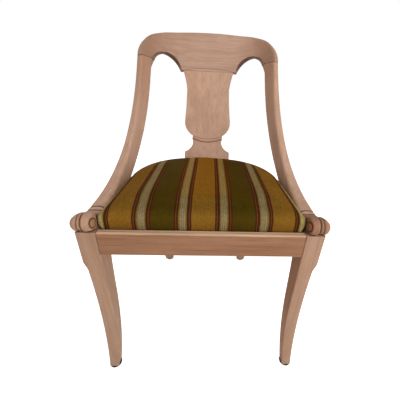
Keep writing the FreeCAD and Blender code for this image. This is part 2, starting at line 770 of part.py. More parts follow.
def rear_rail():
    return rail_ring().common(box(-rear_inner, rear_inner, BACK_ARC_RADIUS / 2, 2 * seat_back,
                                  rail_bottom, RAIL_TOP))


# Dowels, blocks, cleats and screws

def dowel_pair(middle, direction, diameter, length, pitch, gap=0.0):
    """Two dowels one above the other, centred on a joint face, or with a gap their holes."""
    shapes = []
    for side in (-1, 1):
        start = middle + Z_AXIS * (side * pitch / 2) - direction * (length / 2 + gap)
        shapes.append(rod(start, direction, diameter / 2 + gap, length + 2 * gap))
    return shapes


rail_middle = (rail_bottom + ledge) / 2


def side_rail_middle(y):
    return (side_x(y, SEAT_GAP) + side_x(y, rail_outer_grow)) / 2


def corner_x(y):
    """Inner face of the rails at a depth on the round of the rear corner."""
    return corner_centre.x + math.sqrt((BACK_CORNER_RADIUS + SEAT_GAP) ** 2 - (y - corner_centre.y) ** 2)


def rear_joint_x():
    """Middle of the dowels from the side rail into the rear leg, clear of the rail's inner face."""
    return corner_x(rear_front - DOWEL_LENGTH / 2) + SMALL_DOWEL_DIAMETER / 2 + DOWEL_WALL


def rear_joint_y():
    """Middle of the depth that the rear rail and the rear leg share."""
    dx = rear_inner - corner_centre.x
    inner = corner_centre.y + math.sqrt((BACK_CORNER_RADIUS + SEAT_GAP) ** 2 - dx ** 2)
    return (inner + rear_front + REAR_LEG_DEPTH) / 2


def front_rail_dowels(gap=0.0):
    middle = V(leg_inner, FRONT_RAIL_THICKNESS / 2, rail_middle)
    return dowel_pair(middle, X_AXIS, DOWEL_DIAMETER, DOWEL_LENGTH, DOWEL_PITCH, gap)


def side_rail_dowels(gap=0.0):
    front = V(side_rail_middle(LEG_DEPTH), LEG_DEPTH, rail_middle)
    rear = V(rear_joint_x(), rear_front, rail_middle)
    pairs = dowel_pair(front, Y_AXIS, DOWEL_DIAMETER, DOWEL_LENGTH, DOWEL_PITCH, gap)
    return pairs + dowel_pair(rear, Y_AXIS, SMALL_DOWEL_DIAMETER, DOWEL_LENGTH, DOWEL_PITCH, gap)


def rear_rail_dowels(gap=0.0):
    middle = V(rear_inner, rear_joint_y(), rail_middle)
    return dowel_pair(middle, X_AXIS, DOWEL_DIAMETER, DOWEL_LENGTH, DOWEL_PITCH, gap)


def arm_dowels(gap=0.0):
    """Upright dowels from the leg and the side rail into the arm."""
    radius = SMALL_DOWEL_DIAMETER / 2 + gap
    low = RAIL_TOP + ARM_DOWEL_RISE - ARM_DOWEL_LENGTH - gap
    places = [V((leg_inner + leg_outer) / 2, ARM_DOWEL_SETBACK, low)]
    places += [V(side_rail_middle(y), y, low) for y in ARM_DOWEL_PLACES]
    return [rod(p, Z_AXIS, radius, ARM_DOWEL_LENGTH + 2 * gap) for p in places]


def crest_dowel(gap=0.0):
    middle = (joint[0] + joint[1] + joint[2] + joint[3]) * 0.25
    along = V(0, math.sin(sweep_top_lean), math.cos(sweep_top_lean))
    length = DOWEL_LENGTH + 2 * gap
    return rod(middle - along * (length / 2), along, SMALL_DOWEL_DIAMETER / 2 + gap, length)


def screw(head, direction, length, gap=0.0):
    """A countersunk wood screw whose head is flush at a point, or with a gap its hole."""
    start = head - direction * gap
    shank = rod(start, direction, SCREW_DIAMETER / 2 + gap, length + 2 * gap)
    head_radius = SCREW_HEAD_DIAMETER / 2 + gap
    cone = Part.makeCone(head_radius, SCREW_DIAMETER / 2 + gap, SCREW_HEAD_HEIGHT, start, direction)
    return shank.fuse(cone)


block_bottom = ledge - BLOCK_HEIGHT
block_middle = (block_bottom + ledge) / 2


def front_block():
    """Triangular block in the right front corner, under the seat."""
    y = FRONT_RAIL_THICKNESS
    edge = leg_inner - FIT_GAP
    points = [
        (edge, y),
        (edge, y + FRONT_BLOCK_LEG),
        (edge - BLOCK_EDGE, y + FRONT_BLOCK_LEG),
        (edge - FRONT_BLOCK_LEG, y + BLOCK_EDGE),
        (edge - FRONT_BLOCK_LEG, y),
    ]
    inside = seat_plan(SEAT_GAP - FIT_GAP, -LEG_DEPTH, block_bottom, ledge)
    return prism(points, block_bottom, ledge).common(inside)


def rear_block():
    """Block in the right rear corner, fitted round the leg and the curved rails."""
    x = rear_inner
    y = rear_front
    far_x = x + 2 * REAR_LEG_WIDTH
    far_y = y + 2 * REAR_LEG_DEPTH
    points = [
        (x - REAR_BLOCK_REACH, far_y),
        (x - REAR_BLOCK_REACH, y + REAR_BLOCK_EDGE),
        (x + REAR_BLOCK_EDGE, y - REAR_BLOCK_REACH),
        (far_x, y - REAR_BLOCK_REACH),
        (far_x, far_y),
    ]
    inside = seat_plan(SEAT_GAP - FIT_GAP, 0, block_bottom, ledge)
    leg = box(x - FIT_GAP, far_x, y - FIT_GAP, far_y, block_bottom, ledge)
    return prism(points, block_bottom, ledge).common(inside).cut(leg)


def front_block_screws(gap=0.0):
    """Screws through the front block, one into the front rail and one into the leg and side rail."""
    y = FRONT_RAIL_THICKNESS
    low_end = V(leg_inner - FRONT_BLOCK_LEG, y + BLOCK_EDGE, block_middle)
    high_end = V(leg_inner - BLOCK_EDGE, y + FRONT_BLOCK_LEG, block_middle)
    inset = (high_end - low_end).normalize() * BLOCK_SCREW_INSET
    first = low_end + inset
    second = high_end - inset
    return [screw(first, V(0, -1, 0), first.y - y + SCREW_BITE, gap),
            screw(second, X_AXIS, leg_inner - second.x + SCREW_BITE, gap)]


def rear_block_screws(gap=0.0):
    """Screws through the rear block, one into the rear rail and one into the side rail."""
    low_end = V(rear_inner - REAR_BLOCK_REACH, rear_front + REAR_BLOCK_EDGE, block_middle)
    high_end = V(rear_inner + REAR_BLOCK_EDGE, rear_front - REAR_BLOCK_REACH, block_middle)
    inset = (high_end - low_end).normalize() * BLOCK_SCREW_INSET
    first = low_end + inset
    second = high_end - inset
    rail_y = back_centre.y + math.sqrt((BACK_ARC_RADIUS + SEAT_GAP) ** 2 - first.x ** 2)
    rail_x = corner_x(second.y)
    return [screw(first, Y_AXIS, rail_y - first.y + SCREW_BITE, gap),
            screw(second, X_AXIS, rail_x - second.x + SCREW_BITE, gap)]


def cleat():
    """Strip on the inner face of the right side rail that carries the seat's side."""
    outer = seat_plan(SEAT_GAP - FIT_GAP, 0, ledge - CLEAT_HEIGHT, ledge)
    inner = seat_plan(SEAT_GAP - CLEAT_WIDTH, -LEG_DEPTH, ledge - CLEAT_HEIGHT, ledge)
    span = box(0, leg_outer, CLEAT_START, CLEAT_END, ledge - CLEAT_HEIGHT, ledge)
    return outer.cut(inner).common(span)


def cleat_screws(gap=0.0):
    shapes = []
    for i in range(CLEAT_SCREWS):
        y = CLEAT_START + (CLEAT_END - CLEAT_START) * (i + 0.5) / CLEAT_SCREWS
        head = V(side_x(y, SEAT_GAP - CLEAT_WIDTH), y, ledge - CLEAT_HEIGHT / 2)
        shapes.append(screw(head, X_AXIS, CLEAT_WIDTH + SCREW_BITE, gap))
    return shapes


# Drop-in seat

seat_bottom = ledge + REST_GAP
wood_bottom = seat_bottom + COVER_THICKNESS
wood_top = wood_bottom + SEAT_FRAME_THICKNESS
web_low = wood_top + LAYER_GAP
web_high = web_low + WEB_THICKNESS + LAYER_GAP
hessian_low = web_high + WEB_THICKNESS + LAYER_GAP
padding_low = hessian_low + HESSIAN_THICKNESS + LAYER_GAP
crown_top = seat_bottom + CROWN_HEIGHT


def crowned_block(inset, bottom):
    """The upholstered seat as one pillowed solid: upright sides, a soft edge and a crown."""
    wall_top = seat_bottom + CROWN_WALL
    swell = CROWN_HEIGHT - CROWN_WALL - inset
    wires = []
    for i in range(CROWN_BANDS + 1):
        turn = math.pi / 2 * i / CROWN_BANDS
        draw_in = inset + CROWN_REACH * (1 - math.cos(turn))
        rise = swell * math.sin(turn) ** CROWN_EDGE
        wires.append(seat_loop(-draw_in, seat_front + draw_in, wall_top + rise))
    return seat_plan(-inset, seat_front + inset, bottom, wall_top).fuse(loft(wires))


def seat_cover():
    """Velvet cover: over the crown, down the sides and under the seat frame as a hem."""
    window = seat_plan(-COVER_HEM, seat_front + COVER_HEM, ledge, wood_top)
    return crowned_block(0.0, seat_bottom).cut(crowned_block(COVER_THICKNESS, wood_bottom)).cut(window)


def seat_padding():
    below = box(-leg_outer, leg_outer, 0, 2 * seat_back, 0, padding_low)
    return crowned_block(COVER_THICKNESS + LAYER_GAP, wood_bottom).cut(below)


frame_inset = COVER_THICKNESS + LAYER_GAP
frame_window = frame_inset + SEAT_FRAME_WIDTH
frame_front_end = seat_front + frame_window
frame_rear_start = corner_centre.y + FRAME_REAR_SETBACK


def seat_frame():
    """The four pieces of the seat's own frame: front, rear, left and right."""
    outer = seat_plan(-frame_inset, seat_front + frame_inset, wood_bottom, wood_top)
    hole = seat_plan(-frame_window, seat_front + frame_window, wood_bottom, wood_top)
    ring = outer.cut(hole)
    wide = leg_outer
    front = ring.common(box(-wide, wide, 0, frame_front_end, wood_bottom, wood_top))
    rear = ring.common(box(-wide, wide, frame_rear_start, 2 * seat_back, wood_bottom, wood_top))
    right = ring.common(box(0, wide, frame_front_end, frame_rear_start, wood_bottom, wood_top))
    return front, rear, right


def seat_frame_dowels(gap=0.0):
    shapes = []
    radius = FRAME_DOWEL_DIAMETER / 2 + gap
    length = FRAME_DOWEL_LENGTH + 2 * gap
    for y in (frame_front_end, frame_rear_start):
        middle = (side_x(y, -frame_inset) + side_x(y, -frame_window)) / 2
        if y > corner_centre.y:
            dy = y - corner_centre.y
            reach = BACK_CORNER_RADIUS - (frame_inset + frame_window) / 2
            middle = corner_centre.x + math.sqrt(reach ** 2 - dy ** 2)
        for side in (-1, 1):
            start = V(middle + side * FRAME_DOWEL_PITCH / 2, y - length / 2, (wood_bottom + wood_top) / 2)
            shapes.append(rod(start, Y_AXIS, radius, length))
    return shapes


def webbing(along_depth):
    """Strips of webbing laid across the seat frame, one layer each way."""
    low = web_low if along_depth else web_high
    high = low + WEB_THICKNESS
    sheet = seat_plan(-WEB_EDGE_INSET, seat_front + WEB_EDGE_INSET, low, high)
    strips = []
    for i in range(WEBS_EACH_WAY):
        if along_depth:
            middle = (i - (WEBS_EACH_WAY - 1) / 2) * WEB_PITCH
            span = box(middle - WEB_WIDTH / 2, middle + WEB_WIDTH / 2, 0, 2 * seat_back, low, high)
        else:
            start = seat_front + CROSS_WEB_START + i * WEB_PITCH - WEB_WIDTH / 2
            span = box(-leg_outer, leg_outer, start, start + WEB_WIDTH, low, high)
        strips.append(sheet.common(span))
    return group(strips)


def hessian():
    top = hessian_low + HESSIAN_THICKNESS
    return seat_plan(-HESSIAN_INSET, seat_front + HESSIAN_INSET, hessian_low, top)


dust_inset = COVER_HEM + DUST_COVER_GAP
dust_low = wood_bottom - DUST_COVER_THICKNESS


def dust_cover():
    return seat_plan(-dust_inset, seat_front + dust_inset, dust_low, wood_bottom - FIT_GAP)


def tack(x, y, gap=0.0):
    head_low = seat_bottom - TACK_HEAD_HEIGHT
    shank = rod(V(x, y, head_low), Z_AXIS, TACK_SHANK_DIAMETER / 2 + gap, TACK_LENGTH + gap)
    if gap:
        return shank
    return shank.fuse(rod(V(x, y, head_low), Z_AXIS, TACK_HEAD_DIAMETER / 2, TACK_HEAD_HEIGHT - FIT_GAP))


def tack_places():
    places = []
    for i in range(FRONT_TACKS):
        places.append(((i - (FRONT_TACKS - 1) / 2) * TACK_PITCH, seat_front + TACK_INSET))
    for i in range(SIDE_TACKS):
        y = CLEAT_START + (CLEAT_END - CLEAT_START) * (i + 0.5) / SIDE_TACKS
        x = side_x(y, -TACK_INSET)
        places += [(x, y), (-x, y)]
    for x in (-TACK_PITCH, 0.0, TACK_PITCH):
        y = back_centre.y + math.sqrt((BACK_ARC_RADIUS - TACK_INSET) ** 2 - x ** 2)
        places.append((x, y))
    return places


# Assembly

def foot_centre_front():
    return leg_inner + FRONT_FOOT_SPLAY + FRONT_FOOT_WIDTH / 2, FRONT_FOOT_DEPTH / 2


def foot_centre_rear():
    x = rear_inner + REAR_LEG_WIDTH / 2 + REAR_FOOT_OUTSET
    return x, rear_front + REAR_LEG_SWEEP + REAR_FOOT_DEPTH / 2


def build():
    nodes = {}

    def add_pair(name, right):
        nodes[name + "_right"] = right
        nodes[name + "_left"] = mirrored(right)

    def both_sides(shapes):
        return group(shapes + [mirrored(s) for s in shapes])

    recess = seat_recess()
    foot_mortise, head_mortise = splat_tenons(MORTISE_GAP)
    front_holes = front_rail_dowels(FIT_GAP)
    side_holes = side_rail_dowels(FIT_GAP)
    rear_holes = rear_rail_dowels(FIT_GAP)
    arm_holes = arm_dowels(FIT_GAP)
    block_screws = front_block_screws() + rear_block_screws()
    screw_holes = front_block_screws(FIT_GAP) + rear_block_screws(FIT_GAP) + cleat_screws(FIT_GAP)

    crest_holes = [crest_dowel(FIT_GAP), mirrored(crest_dowel(FIT_GAP))]
    nodes["crest_rail"] = cut_all(crest_blank().cut(arch_cutter()), crest_holes + [head_mortise])
    add_pair("back_post", cut_all(back_post(), [crest_dowel(FIT_GAP)] + arm_holes))
    nodes["splat"] = splat()
    nodes["crest_dowels"] = both_sides([crest_dowel()])
    nodes["arm_dowels"] = both_sides(arm_dowels())

    front_foot = foot_centre_front()
    rear_foot = foot_centre_rear()
    leg_cuts = front_holes + side_holes + arm_holes + screw_holes + [glide_hole(*front_foot)]
    add_pair("front_leg", cut_all(front_leg(), leg_cuts))
    add_pair("rear_leg", cut_all(rear_leg(), side_holes + rear_holes + [glide_hole(*rear_foot), recess]))
    add_pair("glide_front", glide(*front_foot))
    add_pair("glide_rear", glide(*rear_foot))

    front_cuts = front_holes + screw_holes
    nodes["front_rail"] = cut_all(front_rail(), front_cuts + [mirrored(c) for c in front_cuts])
    add_pair("side_rail", cut_all(side_rail(), side_holes + arm_holes + screw_holes))
    rear_cuts = rear_holes + screw_holes
    nodes["rear_rail"] = cut_all(rear_rail(), rear_cuts + [mirrored(c) for c in rear_cuts] + [foot_mortise])
    nodes["front_rail_dowels"] = both_sides(front_rail_dowels())
    nodes["side_rail_dowels"] = both_sides(side_rail_dowels())
    nodes["rear_rail_dowels"] = both_sides(rear_rail_dowels())
    add_pair("corner_block_front", cut_all(front_block(), screw_holes))
    add_pair("corner_block_rear", cut_all(rear_block(), screw_holes))
    add_pair("seat_cleat", cut_all(cleat(), screw_holes))
    nodes["corner_block_screws"] = both_sides(block_screws)
    nodes["cleat_screws"] = both_sides(cleat_screws())

    frame_holes = seat_frame_dowels(FIT_GAP)
    frame_holes += [mirrored(h) for h in frame_holes]
    tack_holes = [tack(x, y, FIT_GAP) for x, y in tack_places()]
    front, rear, right = seat_frame()
    nodes["seat_frame_front"] = cut_all(front, frame_holes + tack_holes)
    nodes["seat_frame_rear"] = cut_all(rear, frame_holes + tack_holes)
    add_pair("seat_frame", cut_all(right, frame_holes + tack_holes))
    nodes["seat_frame_dowels"] = both_sides(seat_frame_dowels())
    nodes["webbing_lengthwise"] = webbing(True)
    nodes["webbing_crosswise"] = webbing(False)
    nodes["hessian"] = hessian()
    nodes["seat_padding"] = seat_padding()
    nodes["seat_cover"] = cut_all(seat_cover(), tack_holes)
    nodes["dust_cover"] = dust_cover()
    nodes["cover_tacks"] = group([tack(x, y) for x, y in tack_places()])
    return nodes


nodes = build()
whole = group(list(nodes.values())).BoundBox
to_middle = V(0, -(whole.YMin + whole.YMax) / 2, 0)
os.makedirs("parts", exist_ok=True)
for name, shape in nodes.items():
    shape.translate(to_middle)
    shape.exportStep("parts/" + name + ".step")
print("front rail face at y =", round(to_middle.y, 3))
print("overall", round(whole.XLength, 1), round(whole.YLength, 1), round(whole.ZLength, 1))
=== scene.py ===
import math

import bmesh
import bpy
from mathutils import Matrix, Vector
from mathutils.bvhtree import BVHTree


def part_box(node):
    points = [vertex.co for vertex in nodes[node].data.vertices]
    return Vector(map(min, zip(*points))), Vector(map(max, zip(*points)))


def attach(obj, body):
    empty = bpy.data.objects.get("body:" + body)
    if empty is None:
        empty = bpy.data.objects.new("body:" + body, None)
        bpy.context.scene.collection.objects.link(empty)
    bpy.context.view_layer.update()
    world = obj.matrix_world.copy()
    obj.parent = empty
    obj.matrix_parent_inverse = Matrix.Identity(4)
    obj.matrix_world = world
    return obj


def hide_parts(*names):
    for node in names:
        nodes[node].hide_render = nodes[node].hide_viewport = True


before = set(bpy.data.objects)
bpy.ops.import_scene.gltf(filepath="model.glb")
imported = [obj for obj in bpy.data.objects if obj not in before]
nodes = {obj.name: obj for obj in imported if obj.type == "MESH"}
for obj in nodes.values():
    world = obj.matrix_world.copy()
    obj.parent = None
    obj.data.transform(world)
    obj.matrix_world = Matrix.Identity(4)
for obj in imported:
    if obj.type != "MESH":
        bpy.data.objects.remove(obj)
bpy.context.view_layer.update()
scene = bpy.context.scene
scene.view_settings.view_transform = "Standard"

# Places taken from the frame: the front face of the front rail along Y, its top edge, and how far from the
# middle the inner faces of the front legs are. Metres. +Z is up and the chair faces -Y.
RAIL_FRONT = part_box("front_rail")[0].y
RAIL_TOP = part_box("front_leg_left")[1].z
LEG_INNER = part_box("front_rail")[1].x


# Node helpers

class Nodes:
    """A small builder for shader node trees."""

    def __init__(self, name):
        self.material = bpy.data.materials.new(name)
        self.material.use_nodes = True
        self.tree = self.material.node_tree
        self.tree.nodes.clear()
        self.out = self.tree.nodes.new("ShaderNodeOutputMaterial")
        self.shader = self.tree.nodes.new("ShaderNodeBsdfPrincipled")
        self.link(self.shader.outputs[0], self.out.inputs["Surface"])

    def new(self, kind, **settings):
        node = self.tree.nodes.new(kind)
        for key, value in settings.items():
            setattr(node, key, value)
        return node

    def link(self, a, b):
        self.tree.links.new(a, b)

    def feed(self, socket, value):
        """Links a socket, or sets a plain value."""
        if isinstance(value, bpy.types.NodeSocket):
            self.link(value, socket)
        else:
            socket.default_value = value

    def math(self, op, a, b=0.0):
        node = self.new("ShaderNodeMath", operation=op)
        self.feed(node.inputs[0], a)
        self.feed(node.inputs[1], b)
        return node.outputs[0]

    def away(self, a, b):
        node = self.new("ShaderNodeVectorMath", operation="SUBTRACT")
        self.feed(node.inputs[0], a)
        self.feed(node.inputs[1], b)
        return node.outputs["Vector"]

    def dot(self, a, b):
        node = self.new("ShaderNodeVectorMath", operation="DOT_PRODUCT")
        self.feed(node.inputs[0], a)
        self.feed(node.inputs[1], b)
        return node.outputs["Value"]

    def position(self):
        return self.new("ShaderNodeTexCoord").outputs["Object"]

    def facing(self):
        return self.new("ShaderNodeTexCoord").outputs["Normal"]

    def split(self, vector):
        node = self.new("ShaderNodeSeparateXYZ")
        self.link(vector, node.inputs[0])
        return node.outputs[0], node.outputs[1], node.outputs[2]

    def mapping(self, vector, rotation=(0, 0, 0), scale=(1, 1, 1), location=(0, 0, 0)):
        node = self.new("ShaderNodeMapping")
        self.link(vector, node.inputs["Vector"])
        node.inputs["Rotation"].default_value = rotation
        node.inputs["Scale"].default_value = scale
        node.inputs["Location"].default_value = location
        return node.outputs[0]

    def noise(self, vector, scale, detail=3.0, rough=0.5, distortion=0.0):
        node = self.new("ShaderNodeTexNoise")
        self.link(vector, node.inputs["Vector"])
        node.inputs["Scale"].default_value = scale
        node.inputs["Detail"].default_value = detail
        node.inputs["Roughness"].default_value = rough
        node.inputs["Distortion"].default_value = distortion
        return node.outputs[0]

    def stretched(self, vector, scale, detail=2.0, rough=0.5, distortion=0.0, location=(0, 0, 0)):
        """Noise with its own scale on each axis."""
        mapped = self.mapping(vector, scale=scale, location=location)
        return self.noise(mapped, 1.0, detail, rough, distortion)

    def openness(self, distance):
        """How open a place is, from 0 in a crevice to 1."""
        node = self.new("ShaderNodeAmbientOcclusion", samples=8, only_local=False)
        node.inputs["Distance"].default_value = distance
        return node.outputs["AO"]

    def painted(self, attribute):
        return self.new("ShaderNodeAttribute", attribute_name=attribute).outputs["Fac"]

    def ramp(self, value, stops):
        node = self.new("ShaderNodeValToRGB")
        elements = node.color_ramp.elements
        while len(elements) < len(stops):
            elements.new(0.5)
        for element, (place, colour) in zip(elements, stops):
            element.position = place
            element.color = (*colour, 1.0)
        self.link(value, node.inputs[0])
        return node.outputs[0]

    def remap(self, value, a, b, c=0.0, d=1.0):
        """Maps a..b to c..d and holds the result there."""
        node = self.new("ShaderNodeMapRange", clamp=True)
        for socket, v in zip(node.inputs, (value, a, b, c, d)):
            self.feed(socket, v)
        return node.outputs[0]

    def mix(self, share, a, b, blend="MIX"):
        node = self.new("ShaderNodeMix", data_type="RGBA", blend_type=blend)
        self.feed(node.inputs[0], share)
        for socket, value in ((node.inputs[6], a), (node.inputs[7], b)):
            if isinstance(value, tuple) and len(value) == 3:
                value = (*value, 1.0)
            self.feed(socket, value)
        return node.outputs[2]

    def bump(self, height, strength, distance):
        node = self.new("ShaderNodeBump")
        node.inputs["Strength"].default_value = strength
        node.inputs["Distance"].default_value = distance
        self.link(height, node.inputs["Height"])
        return node.outputs[0]

    def set(self, **values):
        for key, value in values.items():
            self.feed(self.shader.inputs[key.replace("_", " ")], value)


# Wood

BEECH_LIGHT = (0.552, 0.350, 0.254)
BEECH_MID = (0.492, 0.298, 0.209)
BEECH_DARK = (0.372, 0.204, 0.128)
PALE_FLECK = (0.640, 0.455, 0.352)
# A painted highlight colour for faces that look up.
PAINTED_TOP_LIGHT = (0.680, 0.462, 0.300)
# Dark grime for joints and lines, also used as painted shade in crevices and along the splat's bead.
GRIME_AND_SHADE = (0.110, 0.058, 0.032)
# Painted shade for faces that look down.
PAINTED_UNDER_SHADE = (0.105, 0.036, 0.012)
# Painted shade for one side of the right leg.
PAINTED_SIDE_SHADE = (0.300, 0.118, 0.044)
# Real polish round the scroll's eye, and painted shade on the scroll's inner faces.
POLISH_AND_SHADE = (0.235, 0.098, 0.040)
CARVED_LINE = (0.050, 0.023, 0.014)
CREVICE = 0.0035


def grain(n, p, rotation, seed, light, mid, dark):
    """The bare wood's colour along the mapped X axis, with its broad figure, fine figure and pores."""
    along = n.mapping(p, rotation=rotation, location=(seed, seed * 0.7, seed * 1.3))
    broad = n.stretched(along, (1.6, 16, 16), 3.0, 0.55, 0.4)
    fine = n.stretched(along, (9, 240, 240), 4.0, 0.6, 0.2)
    pores = n.stretched(along, (60, 1300, 1300))
    streak = n.stretched(along, (3.2, 85, 85), 3.0, 0.6, 0.3, (7, 2, 5))
    pale = n.stretched(along, (5, 40, 40), location=(3, 1, 2))
    cloud = n.noise(p, 9.0, 3.0, 0.55)
    colour = n.ramp(broad, [(0.30, mid), (0.52, light), (0.72, mid)])
    darker = ((streak, 0.48, 0.70, 0.42), (fine, 0.46, 0.72, 0.42), (pores, 0.60, 0.74, 0.40),
              (cloud, 0.50, 0.78, 0.34))
    for figure, start, full, most in darker:
        colour = n.mix(n.remap(figure, start, full, 0.0, most), colour, dark)
    colour = n.mix(n.remap(pale, 0.58, 0.78, 0.0, 0.26), colour, PALE_FLECK)
    return colour, broad, fine, pores


def seam(n, p, facing, patch, joint):
    """Where a glue line shows: a plane's point and normal, the line's half-width, and how far from the middle
    it starts. Faces that lie in the plane stay clean."""
    point, normal, half, beyond = joint
    reach = n.math("ABSOLUTE", n.dot(n.away(p, point), normal))
    line = n.math("MULTIPLY", n.remap(reach, half * 0.4, half, 0.85, 0.0), patch)
    flush = n.math("ABSOLUTE", n.dot(facing, normal))
    line = n.math("MULTIPLY", line, n.remap(flush, 0.4, 0.7, 1.0, 0.0))
    if beyond:
        out = n.math("ABSOLUTE", n.split(p)[0])
        line = n.math("MULTIPLY", line, n.math("GREATER_THAN", out, beyond))
    return line


def bowed_line(n, p, arc):
    """Where a bowed line shows: a point and the normal of the plane its ends lie in, the bow's rise, its
    half-span, the line's half-width and its strength."""
    point, normal, rise, spread, half, strength = arc
    x = n.split(p)[0]
    share = n.math("ABSOLUTE", n.math("DIVIDE", x, spread))
    bow = n.math("SUBTRACT", 1.0, n.math("POWER", share, 2.0))
    above = n.dot(n.away(p, point), normal)
    reach = n.math("ABSOLUTE", n.math("SUBTRACT", above, n.math("MULTIPLY", bow, rise)))
    return n.math("MULTIPLY", n.remap(reach, half * 0.3, half, strength, 0.0), n.remap(bow, 0.0, 0.05))


def wood(name, rotation, light=BEECH_LIGHT, mid=BEECH_MID, dark=BEECH_DARK, crevice_dirt_and_shade=0.75, seed=0.0, under=0.0,
         ends=0.0, head=0.0, worn=0.0, stain=None, carved=0.0, joints=(), arcs=()):
    """Bare beech with the traces of its old finish, and painted light and shade.

    crevice_dirt_and_shade: how dark the crevices get, with grime and painted shade
    under: painted shade on faces that look down, in a dark varnish brown
    ends, head: painted shade towards the crest's ends, and darkening towards the top of a post, on faces that
    don't look outward
    worn: a painted highlight on faces that look up, in a pale rubbed-wood colour broken by the grain
    stain: a direction, and how much painted shade in an orange-brown stain colour goes on faces that look
    that way
    carved: how much of the polish colour goes on the scroll, which then has dark carved lines too; that
    colour is polish round the eye and painted shade on inner faces
    joints, arcs: glue lines and bowed lines, as seam and bowed_line take them
    """
    n = Nodes(name)
    p = n.position()
    facing = n.facing()
    colour, broad, fine, pores = grain(n, p, rotation, seed, light, mid, dark)
    patch = n.remap(n.noise(p, 45.0, 3.0, 0.6), 0.35, 0.65, 0.45, 1.0)
    # Painted shade on faces that look down.
    if under:
        down = n.remap(n.split(facing)[2], -0.15, -0.50, 0.0, under)
        share = n.math("MULTIPLY", down, n.remap(patch, 0.45, 1.0, 0.85, 1.0))
        colour = n.mix(share, colour, PAINTED_UNDER_SHADE)
    # Painted shade towards the crest's ends; the same darkening towards a post's top. Faces that look outward
    # stay lighter.
    if ends or head:
        x, _, z = n.split(p)
        outward = n.math("MULTIPLY", n.split(facing)[0], n.math("SIGN", x))
        to_ends = n.remap(n.math("ABSOLUTE", x), 0.085, 0.165, 0.0, ends)
        to_top = n.remap(z, 0.58, 0.73, 0.0, head)
        share = n.math("MULTIPLY", to_ends if ends else to_top, n.remap(outward, 0.05, 0.45, 1.0, 0.0))
        colour = n.mix(share, colour, dark)
    # Painted highlight on faces that look up.
    if worn:
        up = n.remap(n.split(facing)[2], 0.20, 0.60, 0.0, worn)
        share = n.math("MULTIPLY", up, n.remap(fine, 0.35, 0.65, 1.0, 0.6))
        colour = n.mix(share, colour, PAINTED_TOP_LIGHT)
    # Painted shade on faces that look the given way.
    if stain:
        way, amount = stain
        side = n.remap(n.dot(facing, way), 0.55, 0.90, 0.0, amount)
        share = n.math("MULTIPLY", side, n.remap(broad, 0.25, 0.60, 0.7, 1.0))
        colour = n.mix(share, colour, PAINTED_SIDE_SHADE)
    # The polish colour: polish round the eye and painted shade on inner faces.
    if carved:
        colour = n.mix(n.math("MULTIPLY", n.painted("warm"), carved), colour, POLISH_AND_SHADE)
    # Painted shade with some grime: crevices darken where little light reaches.
    dirt_and_shade = n.math("MULTIPLY", n.remap(n.openness(CREVICE), 0.86, 0.42), patch)
    colour = n.mix(n.math("MULTIPLY", dirt_and_shade, crevice_dirt_and_shade), colour, GRIME_AND_SHADE)
    if carved:
        line = n.remap(n.painted("carved"), 0.22, 0.75, 0.0, 0.94)
        share = n.math("MULTIPLY", line, n.remap(patch, 0.45, 1.0, 0.75, 1.0))
        colour = n.mix(share, colour, CARVED_LINE)
    for joint in joints:
        colour = n.mix(seam(n, p, facing, patch, joint), colour, GRIME_AND_SHADE)
    for arc in arcs:
        colour = n.mix(bowed_line(n, p, arc), colour, GRIME_AND_SHADE)
    height = n.math("ADD", n.math("MULTIPLY", fine, 0.7), n.math("MULTIPLY", pores, 0.5))
    n.set(Base_Color=colour, Normal=n.bump(height, 0.25, 0.0006))
    n.set(Roughness=n.remap(fine, 0.3, 0.7, 0.50, 0.66), Specular_IOR_Level=0.12)
    return n.material


# Cloth

GOLD = (0.256, 0.125, 0.0165)
OLIVE = (0.070, 0.045, 0.0026)
BEIGE = (0.320, 0.240, 0.132)
FLAX = (0.215, 0.152, 0.078)
BUFF = (0.228, 0.168, 0.043)
CREAM = (0.500, 0.378, 0.172)
LIME = (0.255, 0.220, 0.034)
WINE = (0.070, 0.010, 0.0095)
RUST = (0.170, 0.055, 0.0150)
MOSS = (0.095, 0.078, 0.0045)
BOTTLE = (0.032, 0.026, 0.0022)

# Stripe edges in millimetres from the middle of the seat, each with the colour that starts there.
STRIPES = [
    (0.0, GOLD),
    (22.4, WINE), (25.2, RUST), (27.0, WINE), (29.8, BOTTLE),
    (31.4, BUFF), (34.2, BEIGE), (36.6, FLAX), (37.7, BEIGE), (40.2, FLAX), (41.3, BEIGE), (43.8, BUFF),
    (46.6, MOSS), (48.2, WINE), (50.8, RUST), (52.6, WINE),
    (55.4, OLIVE),
    (98.8, WINE), (101.6, RUST), (103.4, WINE), (106.0, BOTTLE),
    (107.8, BUFF), (110.8, BEIGE), (113.4, FLAX), (114.5, BEIGE), (117.2, FLAX), (118.3, BEIGE),
    (121.2, BUFF), (124.4, MOSS), (126.2, WINE), (129.0, RUST), (130.8, WINE),
    (133.6, GOLD),
    (175.6, WINE), (178.2, RUST), (180.0, WINE), (182.6, BOTTLE), (184.2, LIME),
    (186.8, CREAM),
]
STRIPE_BLUR = 0.25
STRIPE_SHIFT = 0.0006
WARP_SHADE = (0.070, 0.047, 0.012)
WEFT_SHADE = (0.050, 0.032, 0.008)
WORN_PILE = (0.330, 0.205, 0.060)
DEEP_PILE = (0.020, 0.013, 0.003)
BRIGHT_SPOT = (0.360, 0.205, 0.045)
DARK_SPOT = (0.018, 0.011, 0.002)
# Painted shade for the cushion's top.
PAINTED_TOP_SHADE = (0.010, 0.005, 0.0005)
# Painted light: a warm brightening for the cushion's rear slope.
PAINTED_REAR_LIGHT = (1.60, 1.20, 0.45)
CREVICE_SHADE = (0.006, 0.004, 0.002)
CLOTH_CREVICE = 0.010


